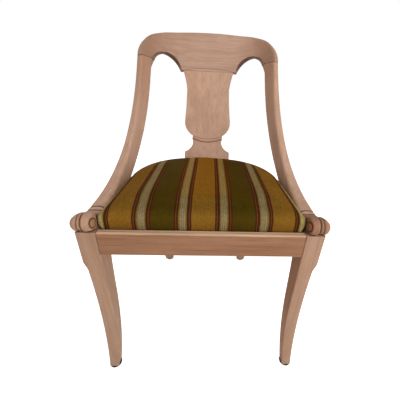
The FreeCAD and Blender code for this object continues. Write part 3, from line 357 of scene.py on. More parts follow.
def striped(n, p):
    """The stripes' colours across X, with edges that wander a little as woven ones do."""
    x = n.split(p)[0]
    wander = n.math("MULTIPLY", n.math("SUBTRACT", n.stretched(p, (40, 7, 7)), 0.5), 0.0016)
    fuzz = n.math("MULTIPLY", n.math("SUBTRACT", n.stretched(p, (900, 500, 500), 1.0), 0.5), 0.0007)
    out = n.math("ABSOLUTE", n.math("ADD", x, STRIPE_SHIFT))
    reach = n.math("MULTIPLY", n.math("ADD", out, n.math("ADD", wander, fuzz)), 1000.0)
    colour = (*STRIPES[0][1], 1.0)
    for edge, tone in STRIPES[1:]:
        colour = n.mix(n.remap(reach, edge - STRIPE_BLUR, edge + STRIPE_BLUR), colour, tone)
    return colour


def velvet():
    """The seat's cover: stripes, worn and mottled pile, painted shade on its top and in its crevices, and
    painted light on its rear slope.
    """
    n = Nodes("striped_velvet")
    p = n.position()
    colour = striped(n, p)
    threads = n.stretched(p, (1500, 45, 45))
    weft = n.stretched(p, (60, 900, 900))
    worn = n.stretched(p, (26, 26, 26), 4.0, 0.6)
    pile = n.stretched(p, (420, 260, 260), 3.0, 0.6)
    mottle = n.stretched(p, (210, 150, 150), 3.0, 0.65)
    colour = n.mix(n.remap(threads, 0.50, 0.70, 0.0, 0.34), colour, WARP_SHADE)
    colour = n.mix(n.remap(weft, 0.55, 0.72, 0.0, 0.22), colour, WEFT_SHADE)
    colour = n.mix(n.remap(worn, 0.48, 0.72, 0.0, 0.24), colour, WORN_PILE, "SOFT_LIGHT")
    colour = n.mix(n.remap(pile, 0.30, 0.70, 0.34, 0.0), colour, DEEP_PILE)
    colour = n.mix(n.remap(mottle, 0.50, 0.72, 0.0, 0.38), colour, BRIGHT_SPOT, "OVERLAY")
    colour = n.mix(n.remap(mottle, 0.46, 0.30, 0.0, 0.34), colour, DARK_SPOT)
    _, back, up = n.split(n.facing())
    # Painted shade on faces that look up, less on those that lean back.
    top_shade_share = n.math("MULTIPLY", n.remap(up, 0.60, 1.0, 0.0, 0.22), n.remap(back, -0.20, 0.20, 1.0, 0.0))
    colour = n.mix(top_shade_share, colour, PAINTED_TOP_SHADE)
    # Painted light, warm and brighter, on faces that lean back, most in the middle.
    rear = n.math("MULTIPLY", n.remap(back, -0.42, 0.30), n.remap(up, 0.30, 0.75))
    middle = n.remap(n.math("ABSOLUTE", n.split(p)[0]), 0.035, 0.110, 1.0, 0.25)
    colour = n.mix(n.math("MULTIPLY", rear, middle), colour, PAINTED_REAR_LIGHT, "MULTIPLY")
    colour = n.mix(n.remap(n.openness(CLOTH_CREVICE), 0.80, 0.38, 0.0, 0.94), colour, CREVICE_SHADE)
    weave = n.math("ADD", n.math("MULTIPLY", threads, 0.5), n.math("MULTIPLY", weft, 0.4))
    height = n.math("ADD", n.math("MULTIPLY", pile, 0.6), weave)
    n.set(Base_Color=colour, Normal=n.bump(height, 0.5, 0.0012))
    n.set(Roughness=n.remap(worn, 0.3, 0.7, 0.78, 0.92), Specular_IOR_Level=0.015)
    n.set(Sheen_Weight=0.01, Sheen_Roughness=0.45, Sheen_Tint=(0.90, 0.70, 0.30, 1.0))
    return n.material


def jute(name, tone, shade, pitch):
    """Woven jute: two crossing sets of threads."""
    n = Nodes(name)
    p = n.position()
    x, y, _ = n.split(p)
    across, down = (n.math("SINE", n.math("MULTIPLY", axis, 2 * math.pi / pitch)) for axis in (x, y))
    weave = n.math("MULTIPLY", across, down)
    slub = n.stretched(p, (300, 40, 300))
    colour = n.mix(n.remap(weave, -0.7, 0.7), shade, tone)
    colour = n.mix(n.remap(slub, 0.5, 0.7, 0.0, 0.5), colour, shade)
    n.set(Base_Color=colour, Roughness=0.9, Normal=n.bump(weave, 0.6, 0.0008))
    n.set(Specular_IOR_Level=0.1)
    return n.material


BLACK_WARP = (0.012, 0.012, 0.013)
BLACK_WEFT = (0.034, 0.033, 0.032)
LINT = (0.080, 0.075, 0.066)


def dust_cloth():
    """Thin black cloth with lint on it."""
    n = Nodes("dust_cloth")
    p = n.position()
    weave = n.stretched(p, (900, 900, 900))
    lint = n.noise(p, 40.0, 4.0, 0.6)
    colour = n.mix(n.remap(weave, 0.35, 0.65), BLACK_WARP, BLACK_WEFT)
    colour = n.mix(n.remap(lint, 0.56, 0.75, 0.0, 0.35), colour, LINT)
    n.set(Base_Color=colour, Roughness=0.92, Normal=n.bump(weave, 0.4, 0.0004))
    return n.material


def metal(name, tone, stain, rough, bare=0.85):
    """Dull metal with stains and fine scratches; bare is 0 where it is blacked."""
    n = Nodes(name)
    p = n.position()
    spots = n.noise(p, 260.0, 4.0, 0.6)
    scratch = n.stretched(p, (2600, 300, 300))
    colour = n.mix(n.remap(spots, 0.45, 0.68), tone, stain)
    n.set(Base_Color=colour, Metallic=bare, Normal=n.bump(scratch, 0.15, 0.0002))
    n.set(Roughness=n.remap(spots, 0.3, 0.7, rough, rough + 0.25), Specular_IOR_Level=0.5 if bare else 0.10)
    return n.material


# Materials of this chair

ALONG_X = (0.0, 0.0, 0.0)
ALONG_Y = (0.0, 0.0, math.radians(90))
ALONG_Z = (0.0, math.radians(90), 0.0)
ALONG_POST = (math.radians(-52), 0.0, math.radians(90))

# Joints and lines of the frame, as seam and bowed_line take them. The crest leans back by 12 degrees.
CREST_NORMAL = (0.0, 0.2079, 0.9781)
TONGUE_POINT = (0.0, 0.2132, 0.7080)
CREST_JOINT = ((0.0, 0.2178, 0.7295), CREST_NORMAL, 0.00036, 0.13)
TONGUE_JOINT = (TONGUE_POINT, CREST_NORMAL, 0.0009, 0.0)
LEFT_JOINT = ((-LEG_INNER, 0.0, 0.0), (1.0, 0.0, 0.0), 0.0017, 0.0)
RIGHT_JOINT = ((LEG_INNER, 0.0, 0.0), (1.0, 0.0, 0.0), 0.0017, 0.0)
LIP_LINE = ((0.0, RAIL_FRONT + 0.0062, 0.0), (0.0, 1.0, 0.0), 0.0009, 0.0)
TONGUE_ARC = (TONGUE_POINT, CREST_NORMAL, 0.0085, 0.078, 0.0011, 0.55)

# The bead across the splat: where its ends are, its half-length, how far it hangs and how thick it is.
BEAD_Z, BEAD_HALF, BEAD_SAG, BEAD_THICK = 0.5235, 0.0462, 0.0100, 0.0044
# Painted shade lines along the bead's upper and lower edges, where it meets the splat.
BEAD_SHADE_LINES = [((0.0, 0.0, BEAD_Z + k * BEAD_THICK), (0.0, 0.0, 1.0), -BEAD_SAG, BEAD_HALF, 0.0016, 0.75)
              for k in (-1.0, 1.0)]


def tones(light, mid, dark=BEECH_DARK):
    return {"light": light, "mid": mid, "dark": dark}


CREST_TONES = tones((0.500, 0.322, 0.238), (0.442, 0.273, 0.196), (0.310, 0.173, 0.111))
# The legs and rails get darker copies of the beech: painted shade for parts that stand low.
LEG_SHADED_TONES = tones((0.440, 0.276, 0.194), (0.378, 0.228, 0.155), (0.270, 0.142, 0.084))
RAIL_SHADED_TONES = tones((0.345, 0.183, 0.108), (0.284, 0.141, 0.078), (0.160, 0.064, 0.028))
BLOCK_TONES = tones((0.50, 0.34, 0.21), (0.42, 0.27, 0.16))
DOWEL_TONES = tones((0.58, 0.42, 0.28), (0.50, 0.35, 0.22))
SEAT_TONES = tones((0.55, 0.39, 0.23), (0.46, 0.31, 0.17))

woods = {
    # The crest gets painted shade under it and towards its ends.
    "crest": wood("beech_crest", ALONG_X, seed=1.7, joints=(CREST_JOINT, TONGUE_JOINT), under=0.95, ends=0.80,
                  arcs=(TONGUE_ARC,), **CREST_TONES),
    # The rail's top gets a painted highlight.
    "rail": wood("beech_rail", ALONG_X, seed=4.1, joints=(LEFT_JOINT, RIGHT_JOINT, LIP_LINE), worn=0.85,
                 **RAIL_SHADED_TONES),
    "side": wood("beech_side_rail", ALONG_Y, seed=6.3, **RAIL_SHADED_TONES),
    # The splat's bead gets painted shade lines along its edges.
    "splat": wood("beech_splat", ALONG_Z, seed=2.9, joints=(TONGUE_JOINT,), under=0.8, arcs=BEAD_SHADE_LINES),
    "leg_left": wood("beech_leg_left", ALONG_Z, seed=8.8, joints=(LEFT_JOINT,), **LEG_SHADED_TONES),
    # The right leg's inner face gets painted shade.
    "leg_right": wood("beech_leg_right", ALONG_Z, seed=3.6, joints=(RIGHT_JOINT,),
                      stain=((-1.0, 0.0, 0.0), 0.85), **LEG_SHADED_TONES),
    # The scrolls' inner faces get painted shade in the polish colour, the right one more.
    "post_left": wood("beech_post_left", ALONG_POST, seed=5.2, joints=(CREST_JOINT,), carved=0.72,
                      head=0.65),
    "post_right": wood("beech_post_right", ALONG_POST, seed=6.9, joints=(CREST_JOINT,), carved=1.5,
                       head=0.65),
    "bead": wood("beech_bead", ALONG_X, seed=2.2),
    "block": wood("block_wood", ALONG_X, seed=9.4, crevice_dirt_and_shade=0.4, **BLOCK_TONES),
    "dowel": wood("dowel_wood", ALONG_X, seed=3.3, crevice_dirt_and_shade=0.3, **DOWEL_TONES),
    "seat": wood("seat_wood", ALONG_X, seed=7.7, crevice_dirt_and_shade=0.4, **SEAT_TONES),
}
SCREW = metal("screw_steel", (0.42, 0.39, 0.33), (0.16, 0.10, 0.06), 0.35)
TACK = metal("tack_steel", (0.10, 0.10, 0.11), (0.05, 0.035, 0.03), 0.40)
GLIDE = metal("glide_black", (0.020, 0.018, 0.017), (0.007, 0.006, 0.006), 0.48, 0.0)
WEBBING = jute("webbing", (0.36, 0.26, 0.15), (0.17, 0.11, 0.055), 0.004)
HESSIAN = jute("hessian", (0.38, 0.29, 0.17), (0.15, 0.10, 0.05), 0.003)
VELVET = velvet()
DUST = dust_cloth()


# The material of each node, by how its name ends or else begins.
BY_ENDING = (("dowels", woods["dowel"]), ("screws", SCREW), ("tacks", TACK))
BY_START = (
    ("crest_rail", woods["crest"]), ("splat", woods["splat"]),
    ("back_post_left", woods["post_left"]), ("back_post_right", woods["post_right"]),
    ("front_rail", woods["rail"]), ("rear_rail", woods["rail"]), ("side_rail", woods["side"]),
    ("front_leg_left", woods["leg_left"]), ("front_leg_right", woods["leg_right"]),
    ("rear_leg_left", woods["leg_left"]), ("rear_leg_right", woods["leg_right"]),
    ("corner_block", woods["block"]), ("seat_cleat", woods["block"]), ("seat_frame", woods["seat"]),
    ("seat_cover", VELVET), ("seat_padding", VELVET), ("dust_cover", DUST),
    ("webbing", WEBBING), ("hessian", HESSIAN), ("glide", GLIDE),
)


def material_of(name):
    """The first material whose rule fits the node's name."""
    fits = [material for ending, material in BY_ENDING if name.endswith(ending)]
    fits += [material for start, material in BY_START if name.startswith(start)]
    return fits[0]


for name, obj in nodes.items():
    obj.data.materials.clear()
    obj.data.materials.append(material_of(name))


# Mesh helpers

def ease(value, a, b):
    """Rises smoothly from 0 at a to 1 at b."""
    t = min(1.0, max(0.0, (value - a) / (b - a)))
    return t * t * (3.0 - 2.0 * t)


def bell(offset, width):
    return math.exp(-(offset / width) ** 2)


def new_object(name, mesh):
    obj = bpy.data.objects.new(name, mesh)
    scene.collection.objects.link(obj)
    return obj


def object_of(name, form):
    """A new object from a bmesh, which is freed."""
    mesh = bpy.data.meshes.new(name)
    form.to_mesh(mesh)
    form.free()
    return new_object(name, mesh)


def apply_modifiers(obj):
    """Puts the evaluated mesh in place of the object's own."""
    graph = bpy.context.evaluated_depsgraph_get()
    mesh = bpy.data.meshes.new_from_object(obj.evaluated_get(graph))
    old = obj.data
    obj.modifiers.clear()
    obj.data = mesh
    bpy.data.meshes.remove(old)


def add_remesh(obj, voxel):
    remesh = obj.modifiers.new("remesh", "REMESH")
    remesh.mode = "VOXEL"
    remesh.voxel_size = voxel


def add_smooth(obj, turns, group=""):
    smooth = obj.modifiers.new("smooth", "SMOOTH")
    smooth.factor = 0.5
    smooth.iterations = turns
    smooth.vertex_group = group


def finish_surface(obj, material):
    for f in obj.data.polygons:
        f.use_smooth = True
    obj.data.materials.clear()
    obj.data.materials.append(material)


def skin_of(name):
    """A search tree of a CAD node's surface."""
    mesh = nodes[name].data
    return BVHTree.FromPolygons([v.co for v in mesh.vertices], [tuple(f.vertices) for f in mesh.polygons])


# The cushion of the drop-in seat: the cover filled, inflated as cloth and fitted to its place

CUSHION_VOXEL = 0.005

# How much smaller the cloth starts, and how far above the rail it is fully free, and held below.
CLOTH_SHRINK, FREE_HEIGHT, GRIP_HEIGHT = 0.002, 0.020, 0.002
CLOTH_FRAMES = 20

# How far the cloth may sink, puff out below and above EDGE_HEIGHT, and move in all.
EDGE_HEIGHT = 0.004
MOST_SINK, EDGE_PUFF, TOP_PUFF, MOST_MOVE = 0.0005, 0.0004, 0.0030, 0.008
SIDE_SWELL = 0.0050
EDGE_TUCK = 0.0022

# The front corners: their size, how square they are, and how far below the rail's top edge they start.
CORNER = 0.024
CORNER_POWER = 3.0
CORNER_BASE = 0.004
POST_CLEARANCE, POST_REACH = 0.0008, 0.008

# The underside: how thick a layer is made flat, its recess, and how far that passes the dust cover's edge.
BASE_LAYER, DUST_RECESS, HEM = 0.0030, 0.0022, 0.001


def cushion_blank():
    """The cover's outline filled and meshed evenly."""
    form = bmesh.new()
    form.from_mesh(nodes["seat_cover"].data)
    hull = bmesh.ops.convex_hull(form, input=form.verts)
    bmesh.ops.delete(form, geom=hull["geom_interior"], context="VERTS")
    loose = [v for v in form.verts if not v.link_faces]
    bmesh.ops.delete(form, geom=loose, context="VERTS")
    pad = object_of("seat_cushion", form)
    add_remesh(pad, CUSHION_VOXEL)
    apply_modifiers(pad)
    return pad


def inflate(pad, start, normals):
    """Blows the cover up from a slightly smaller form, held where it meets the rail."""
    held = pad.vertex_groups.new(name="held")
    for v, at, way in zip(pad.data.vertices, start, normals):
        free = min(1.0, max(0.0, (at.z - RAIL_TOP) / FREE_HEIGHT))
        v.co = at - way * CLOTH_SHRINK * free
        held.add([v.index], 1.0 if v.co.z < RAIL_TOP + GRIP_HEIGHT else 0.0, "REPLACE")
    cloth = pad.modifiers.new("cloth", "CLOTH")
    cloth.settings.quality = 6
    cloth.settings.mass = 0.3
    cloth.settings.tension_stiffness = 18
    cloth.settings.compression_stiffness = 18
    cloth.settings.bending_stiffness = 0.6
    cloth.settings.use_pressure = True
    cloth.settings.uniform_pressure_force = 4
    cloth.settings.vertex_group_mass = "held"
    cloth.settings.effector_weights.gravity = 0
    cloth.collision_settings.use_self_collision = False
    cloth.point_cache.frame_start = 1
    cloth.point_cache.frame_end = CLOTH_FRAMES
    for f in range(1, CLOTH_FRAMES + 1):
        scene.frame_set(f)
    apply_modifiers(pad)
    scene.frame_set(1)


def fit_to_place(pad, start, normals):
    """Limits how far the cloth moved, swells its sides, tucks its lower edge and fills its front corners."""
    low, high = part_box("seat_cover")
    for v, at, way in zip(pad.data.vertices, start, normals):
        rise = at.z - RAIL_TOP
        move = v.co - at
        out = move.dot(way)
        most = EDGE_PUFF if rise < EDGE_HEIGHT else TOP_PUFF
        move += way * (min(max(out, -MOST_SINK), most) - out)
        if move.length > MOST_MOVE:
            move *= MOST_MOVE / move.length
        level = Vector((way.x, way.y, 0.0))
        swell = ease(rise, 0.004, 0.016) * (1.0 - ease(rise, 0.022, 0.044))
        tuck = ease(rise, -0.001, 0.002) * (1.0 - ease(rise, 0.002, 0.009))
        bulge = SIDE_SWELL * abs(level.x) * swell - EDGE_TUCK * tuck * max(0.2, -level.y)
        v.co = at + move + level * bulge
        centre = Vector((math.copysign(high.x - CORNER, at.x), low.y + CORNER))
        off = v.co.xy - centre
        if rise > -CORNER_BASE and off.x * at.x > 0 and off.y < 0:
            x, y = (abs(c) ** CORNER_POWER for c in off.normalized())
            fuller = centre + off / (x + y) ** (1 / CORNER_POWER)
            v.co.x, v.co.y = fuller.x, max(fuller.y, low.y)


def even_out(pad, start):
    """Smooths the whole cushion, its crown most of all."""
    crown = pad.vertex_groups.new(name="crown")
    for v, at in zip(pad.data.vertices, start):
        crown.add([v.index], ease(at.z - RAIL_TOP, 0.020, 0.034), "REPLACE")
    add_smooth(pad, 3)
    add_smooth(pad, 16, "crown")
    finer = pad.modifiers.new("finer", "SUBSURF")
    finer.levels = 1
    finer.render_levels = 1
    apply_modifiers(pad)


def clear_of_posts(pad):
    """Presses the cushion back where its swelling sides would run into the arms."""
    for name in ("back_post_left", "back_post_right"):
        skin = skin_of(name)
        for v in pad.data.vertices:
            spot, way = skin.find_nearest(v.co, POST_REACH)[:2]
            if spot is None:
                continue
            apart = (v.co - spot).dot(way)
            if apart < POST_CLEARANCE:
                v.co += way * (POST_CLEARANCE - apart)


def flatten_base(pad):
    """Makes the underside flat, with a shallow recess over the dust cover so that only the hem shows."""
    floor_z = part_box("seat_cover")[0].z
    over_dust_cover = dust_window()
    for v in pad.data.vertices:
        if v.co.z < floor_z + BASE_LAYER:
            v.co.z = floor_z + (DUST_RECESS if over_dust_cover(v.co.x, v.co.y) else 0.0)


def cushion():
    """The cover over its padding, as one closed, crowned form."""
    pad = cushion_blank()
    start = [v.co.copy() for v in pad.data.vertices]
    normals = [v.normal.copy() for v in pad.data.vertices]
    inflate(pad, start, normals)
    fit_to_place(pad, start, normals)
    even_out(pad, start)
    clear_of_posts(pad)
    flatten_base(pad)
    finish_surface(pad, VELVET)
    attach(pad, "drop_in_seat")
    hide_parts("seat_cover", "seat_padding")


# The dust cover under the seat

DUST_RINGS = 14
DUST_SAG = 0.0022
DUST_LIFT = 0.0002
DUST_THICKNESS = 0.0003
DUST_RIPPLE = 0.0004


def dust_outline():
    """The dust cover's edge, as points in turn round its middle."""
    points = {(round(v.co.x, 4), round(v.co.y, 4)) for v in nodes["dust_cover"].data.vertices}
    middle = Vector((0.0, sum(p[1] for p in points) / len(points)))
    edge = [Vector(p) for p in points]
    edge.sort(key=lambda p: math.atan2(p.y - middle.y, p.x - middle.x))
    return middle, edge


def dust_window():
    """A test for points under the seat that lie over the dust cover."""
    middle, edge = dust_outline()

    def inside(x, y):
        away = Vector((x, y)) - middle
        at = middle + away * max(0.0, 1.0 - HEM / max(away.length, HEM))
        within = False
        for a, b in zip(edge, edge[1:] + edge[:1]):
            if (a.y > at.y) != (b.y > at.y) and at.x < a.x + (at.y - a.y) * (b.x - a.x) / (b.y - a.y):
                within = not within
        return within

    return inside


def join_rings(form, rings):
    """Faces between closed rings of vertices that follow each other."""
    for first, second in zip(rings, rings[1:]):
        count = len(first)
        for k in range(count):
            nxt = (k + 1) % count
            form.faces.new((first[k], first[nxt], second[nxt], second[k]))


def dust_sheet():
    """Thin black cloth tacked under the seat, slack in the middle."""
    low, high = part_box("dust_cover")
    middle, edge = dust_outline()
    form = bmesh.new()
    centre = form.verts.new((middle.x, middle.y, low.z - DUST_SAG))
    rings = []
    for r in range(1, DUST_RINGS + 1):
        share = r / DUST_RINGS
        drop = DUST_SAG * (1.0 - ease(share, 0.0, 0.9))
        ring = []
        for p in edge:
            at = middle + (p - middle) * share
            ripple = DUST_RIPPLE * math.sin(60 * at.x) * math.sin(47 * at.y) * (1.0 - share)
            ring.append(form.verts.new((at.x, at.y, low.z + DUST_LIFT - drop + ripple)))
        rings.append(ring)
    count = len(edge)
    for k in range(count):
        form.faces.new((centre, rings[0][(k + 1) % count], rings[0][k]))
    join_rings(form, rings)
    bmesh.ops.recalc_face_normals(form, faces=form.faces)
    area = sum(f.calc_area() for f in form.faces)
    cloth = object_of("dust_sheet", form)
    thick = cloth.modifiers.new("thick", "SOLIDIFY")
    thick.thickness = DUST_THICKNESS
    thick.offset = 0.0
    apply_modifiers(cloth)
    finish_surface(cloth, DUST)
    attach(cloth, "drop_in_seat")
    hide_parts("dust_cover")


cushion()
dust_sheet()


# The posts: softened edges, and the carving of the scrolled arms
# Places across the arm count outwards from the inner face of the front leg.

POST_VOXEL = 0.0015
ARM_BACK = RAIL_FRONT + 0.083215
ARM_TOP = RAIL_TOP + 0.056
SCROLL_TOP = RAIL_TOP + 0.046
FINE_MESH_BACK = RAIL_FRONT + 0.080215

SCROLL_Y = RAIL_FRONT + 0.011015
SCROLL_Z = RAIL_TOP + 0.0175
SCROLL_RADIUS = 0.0185

# The band of the arm lies between two rings, each with how far it bows back in the middle of the arm.
RING_FRONT, RING_BACK = RAIL_FRONT + 0.058915, RAIL_FRONT + 0.071715
RINGS = ((RING_FRONT, 0.0008), (RING_BACK, 0.0042))
RING_MIDDLE, RING_SPREAD = 0.0225, 0.012
RING_WIDTH, RING_DEPTH = 0.0028, 0.0021

# The lines between the reeds, each with its strength. They widen towards the leg.
REED_LINES = ((0.0211, 1.0), (0.0279, 0.8))
REED_WIDTH, REED_WIDENING, REED_DEPTH = 0.0025, 0.0010, 0.0034

# The eye on the inner end of the scroll, turned to the front, the polish left around it, and painted shade in
# the polish colour on the scroll's inner faces.
EYE_BASE = 0.0120
EYE_TURN = math.radians(32)
EYE_TILT = 0.10
EYE_RADIUS = 0.0082
EYE_TALLER = 0.86
EYE_WIDTH, EYE_DEPTH = 0.0014, 0.0017
EYE_BEHIND = 0.002
POLISH_REACH, INNER_FACE_SHADE, POLISH_LEAST = 0.006, 0.8, 0.38

# The outer reeds: where they start, how their end is rounded, and how far it droops.
REEDS_START = 0.0145
ROUND_START, ROUND_LENGTH, ROUND_POWER = 0.0265, 0.0165, 2.4
REED_SHARE = 0.985
MOST_GROWTH = 1.8
DROOP_START, DROOP_END, END_DROP = 0.0225, 0.0405, 0.0024
SLICE, THINNEST = 0.0005, 0.002
ROLL_FRONT = SCROLL_Y - 0.004
NECK_START, NECK_END = 0.002, 0.016


def ring_cut(across, co):
    """How much of a ring's cut is at a point."""
    cuts = []
    for ring, bow in RINGS:
        shift = bow * bell(across - RING_MIDDLE, RING_SPREAD)
        cuts.append(bell(co.y - ring - shift, RING_WIDTH))
    return max(cuts)


def reed_cut(across, co):
    """How much of a line between two reeds is at a point. They run round the roll, in front of the rings."""
    dy, dz = co.y - SCROLL_Y, co.z - SCROLL_Z
    reach = ease(-co.y, -RING_FRONT - 0.001, -RING_FRONT + 0.004) * ease(math.hypot(dy, dz), 0.006, 0.012)
    if dz < 0.0 and dy > 0.0:
        reach *= 1.0 - ease(dy, 0.004, 0.012)
    width = REED_WIDTH + REED_WIDENING * ease(-dz, 0.004, 0.015)
    return max(strength * bell(across - reed, width) * reach for reed, strength in REED_LINES)


def eye_cut(across, co):
    """How much of the eye's oval line is at a point, and how much polish is left inside it."""
    place = Vector((EYE_BASE - across, SCROLL_Y - co.y, co.z - SCROLL_Z))
    axis = Vector((math.cos(EYE_TURN), math.sin(EYE_TURN), EYE_TILT)).normalized()
    ahead = place.dot(axis)
    if ahead <= -EYE_BEHIND:
        return 0.0, 0.0
    flat = place - axis * ahead
    radius = math.hypot(math.hypot(flat.x, flat.y), flat.z * EYE_TALLER)
    return bell(radius - EYE_RADIUS, EYE_WIDTH), 1.0 - ease(radius, EYE_RADIUS, EYE_RADIUS + POLISH_REACH)


def carving(side, co, normal):
    """How deep the carving is at a point of the post, how dark its line is, and how much polish colour it
    gets: polish round the eye and painted shade on faces that look inwards.
    """
    across = side * co.x - LEG_INNER
    depth, line, warm = 0.0, 0.0, 0.0
    if co.y < ARM_BACK and co.z < ARM_TOP:
        ring, reed = ring_cut(across, co), reed_cut(across, co)
        depth = max(RING_DEPTH * ring, REED_DEPTH * reed)
        line = max(ring, reed ** 1.5)
    if co.y < RING_FRONT and co.z < ARM_TOP:
        eye, polish = eye_cut(across, co)
        depth = max(depth, EYE_DEPTH * eye)
        line = max(line, eye)
        # Painted shade on faces that look inwards, in the polish colour.
        warm = max(polish, INNER_FACE_SHADE * ease(-side * normal.x, 0.20, 0.80), POLISH_LEAST)
    return depth, line, warm


def fill_reeds(form, side):
    """Brings the outer reeds up to the roll's full size, with a rounded end that droops a little."""
    widest = {}
    for v in form.verts:
        if v.co.z < SCROLL_TOP and v.co.y < ROLL_FRONT:
            place = round((side * v.co.x - LEG_INNER) / SLICE)
            widest[place] = max(widest.get(place, 0.0), math.hypot(v.co.y - SCROLL_Y, v.co.z - SCROLL_Z))
    for v in form.verts:
        across = side * v.co.x - LEG_INNER
        dy = v.co.y - SCROLL_Y
        if across < REEDS_START or v.co.z > SCROLL_TOP or dy > NECK_END:
            continue
        now = widest.get(round(across / SLICE))
        if not now or now < THINNEST:
            continue
        rounding = min(1.0, max(0.0, (across - ROUND_START) / ROUND_LENGTH))
        full = SCROLL_RADIUS * REED_SHARE * math.sqrt(max(0.05, 1.0 - rounding ** ROUND_POWER))
        before_neck = 1.0 - ease(dy, NECK_START, NECK_END)
        grow = (min(MOST_GROWTH, max(1.0, full / now)) - 1.0) * before_neck
        v.co.y += dy * grow
        v.co.z += (v.co.z - SCROLL_Z) * grow
        v.co.z -= END_DROP * ease(across, DROOP_START, DROOP_END) * before_neck


def carved_post(name, side):
    """A back post with softened edges and its arm carved; the cuts also go to the material as attributes."""
    post = new_object(name + "_carved", nodes[name].data.copy())
    add_remesh(post, POST_VOXEL)
    add_smooth(post, 3)
    apply_modifiers(post)
    form = bmesh.new()
    form.from_mesh(post.data)
    near = [f for f in form.faces if f.calc_center_median().y < FINE_MESH_BACK]
    edges = list({e for f in near for e in f.edges})
    bmesh.ops.subdivide_edges(form, edges=edges, cuts=1, use_grid_fill=True)
    fill_reeds(form, side)
    form.normal_update()
    dark = form.verts.layers.float.new("carved")
    # The polish colour's share, with its painted shade on inner faces.
    polish = form.verts.layers.float.new("warm")
    moves = []
    for v in form.verts:
        depth, v[dark], v[polish] = carving(side, v.co, v.normal)
        moves.append((v, -v.normal * depth))
    for v, move in moves:
        v.co += move
    form.to_mesh(post.data)
    form.free()
    finish_surface(post, material_of(name))
    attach(post, "frame")
    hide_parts(name)


carved_post("back_post_left", -1)
carved_post("back_post_right", 1)


# The bead of the splat

BEAD_STEPS, BEAD_SIDES = 48, 14
BEAD_DEPTH = BEAD_THICK * 0.85
NECK_HALF = 0.043
BEAD_LIFT = 0.0002
BEAD_END_POWER, BEAD_END_LEAST = 12, 0.03


def splat_bead():
    """The half-round bead that hangs across the splat's neck."""
    skin = skin_of("splat")
    form = bmesh.new()
    rings = []
    for i in range(BEAD_STEPS + 1):
        share = 2.0 * i / BEAD_STEPS - 1.0
        x = BEAD_HALF * share
        z = BEAD_Z - BEAD_SAG * (1.0 - share ** 2)
        over_neck = max(-NECK_HALF, min(NECK_HALF, x))
        hit = skin.ray_cast(Vector((over_neck, -0.3, z)), Vector((0, 1, 0)))[0]
        y = hit.y + BEAD_LIFT
        taper = math.sqrt(max(BEAD_END_LEAST, 1.0 - abs(share) ** BEAD_END_POWER))
        ring = []
        for k in range(BEAD_SIDES):
            turn = 2 * math.pi * k / BEAD_SIDES
            out = BEAD_DEPTH * taper * math.cos(turn)
            up = BEAD_THICK * taper * math.sin(turn)
            ring.append(form.verts.new((x, y + out, z + up)))
        rings.append(ring)
    join_rings(form, rings)
    form.faces.new(list(reversed(rings[0])))
    form.faces.new(rings[-1])
    bmesh.ops.recalc_face_normals(form, faces=form.faces)
    bead = object_of("splat_bead", form)
    finish_surface(bead, woods["bead"])
    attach(bead, "frame")


splat_bead()


# Floor, light and camera

FLOOR_HALF = 14.0
FLOOR_DROP = 0.0002
FLOOR_SEEN = (0.78, 0.78, 0.78, 1)
FLOOR_BOUNCE = (0.66, 0.59, 0.52, 1)
FLOOR_LIFT = 0.78
WORLD_LIGHT = (1.0, 0.985, 0.96, 1)
WORLD_LEVEL = 0.31

# Each lamp's name, place, target, size, power and colour.
LAMPS = (
    ("key", (1.0, -1.9, 1.50), (0, 0, 0.5), 1.3, 27, (1.0, 0.985, 0.96)),
    ("top", (0.1, -0.9, 2.4), (0, 0, 0.5), 1.6, 9, (1.0, 1.0, 1.0)),
    ("left", (-1.7, -1.2, 1.2), (0, 0, 0.5), 1.6, 8, (1.0, 0.99, 0.98)),
    ("right", (1.7, -1.0, 0.5), (0, 0, 0.3), 1.2, 10, (1.0, 0.97, 0.93)),
    ("back", (-0.6, 2.2, 1.4), (0, 0, 0.4), 1.8, 16, (1.0, 0.985, 0.96)),
)

CAMERA_PLACE = (0.0080, RAIL_FRONT - 0.3692, 0.6974)
CAMERA_YAW, CAMERA_TILT, CAMERA_ROLL = 0.0557, 0.4827, 0.0484
CAMERA_LENS = 21.6
CAMERA_SHIFT = (-0.0504, 0.0056)


def floor():
    """A plain floor that is white where it is seen, keeps the shadow, and throws less light back."""
    corners = [(x * FLOOR_HALF, y * FLOOR_HALF, 0) for x, y in ((-1, -1), (1, -1), (1, 1), (-1, 1))]
    mesh = bpy.data.meshes.new("floor")
    mesh.from_pydata(corners, [], [(0, 1, 2, 3)])
    obj = new_object("floor", mesh)
    obj.location.z = -FLOOR_DROP
    n = Nodes("floor")
    n.tree.nodes.remove(n.shader)
    pale = n.new("ShaderNodeBsdfDiffuse")
    pale.inputs["Color"].default_value = FLOOR_SEEN
    dim = n.new("ShaderNodeBsdfDiffuse")
    dim.inputs["Color"].default_value = FLOOR_BOUNCE
    lift = n.new("ShaderNodeEmission")
    lift.inputs["Strength"].default_value = FLOOR_LIFT
    paler = n.new("ShaderNodeAddShader")
    n.link(pale.outputs[0], paler.inputs[0])
    n.link(lift.outputs[0], paler.inputs[1])
    path = n.new("ShaderNodeLightPath")
    seen = n.math("MAXIMUM", path.outputs["Is Camera Ray"], path.outputs["Is Glossy Ray"])
    seen = n.math("MAXIMUM", seen, path.outputs["Is Transmission Ray"])
    choose = n.new("ShaderNodeMixShader")
    n.link(seen, choose.inputs[0])
    n.link(dim.outputs[0], choose.inputs[1])
    n.link(paler.outputs[0], choose.inputs[2])
    n.link(choose.outputs[0], n.out.inputs["Surface"])
    obj.data.materials.append(n.material)


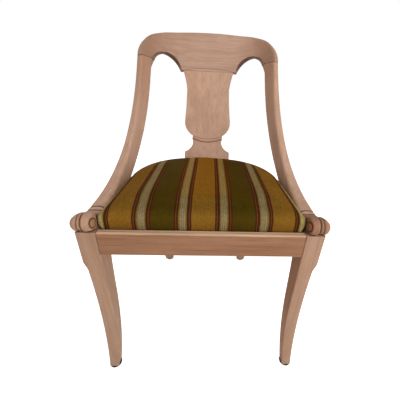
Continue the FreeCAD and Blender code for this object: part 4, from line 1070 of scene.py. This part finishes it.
def sky():
    """Soft light from all round, with plain white behind the object."""
    world = bpy.data.worlds.new("studio")
    scene.world = world
    world.use_nodes = True
    tree = world.node_tree
    tree.nodes.clear()
    out = tree.nodes.new("ShaderNodeOutputWorld")
    path = tree.nodes.new("ShaderNodeLightPath")
    seen = tree.nodes.new("ShaderNodeMath")
    seen.operation = "MAXIMUM"
    tree.links.new(path.outputs["Is Camera Ray"], seen.inputs[0])
    tree.links.new(path.outputs["Is Transmission Ray"], seen.inputs[1])
    soft = tree.nodes.new("ShaderNodeBackground")
    soft.inputs["Color"].default_value = WORLD_LIGHT
    soft.inputs["Strength"].default_value = WORLD_LEVEL
    white = tree.nodes.new("ShaderNodeBackground")
    white.inputs["Color"].default_value = (1, 1, 1, 1)
    white.inputs["Strength"].default_value = 1.0
    choose = tree.nodes.new("ShaderNodeMixShader")
    tree.links.new(seen.outputs[0], choose.inputs[0])
    tree.links.new(soft.outputs[0], choose.inputs[1])
    tree.links.new(white.outputs[0], choose.inputs[2])
    tree.links.new(choose.outputs[0], out.inputs["Surface"])


def lamp(name, place, target, size, power, colour):
    """A round area lamp that points at the target."""
    data = bpy.data.lights.new(name, "AREA")
    data.shape = "DISK"
    data.size = size
    data.energy = power
    data.color = colour
    obj = new_object(name, data)
    obj.location = place
    obj.rotation_euler = (Vector(target) - Vector(place)).to_track_quat("-Z", "Y").to_euler()


def turn_in_plane(angle):
    """A turn about the third axis."""
    c, s = math.cos(angle), math.sin(angle)
    return Matrix(((c, -s, 0), (s, c, 0), (0, 0, 1)))


def camera():
    """The photograph's viewpoint: standing close in front and looking down at the seat."""
    c, s = math.cos(CAMERA_TILT), math.sin(CAMERA_TILT)
    tipped = Matrix(((1, 0, 0), (0, -s, -c), (0, c, -s)))
    right, down, ahead = turn_in_plane(CAMERA_ROLL) @ tipped @ turn_in_plane(CAMERA_YAW)
    data = bpy.data.cameras.new("camera")
    data.sensor_width = 36.0
    data.lens = CAMERA_LENS
    data.shift_x, data.shift_y = CAMERA_SHIFT
    data.clip_start = 0.02
    obj = new_object("camera", data)
    turn = Matrix((right, -down, -ahead)).transposed()
    obj.matrix_world = Matrix.Translation(CAMERA_PLACE) @ turn.to_4x4()
    scene.camera = obj


floor()
sky()
for row in LAMPS:
    lamp(*row)
camera()
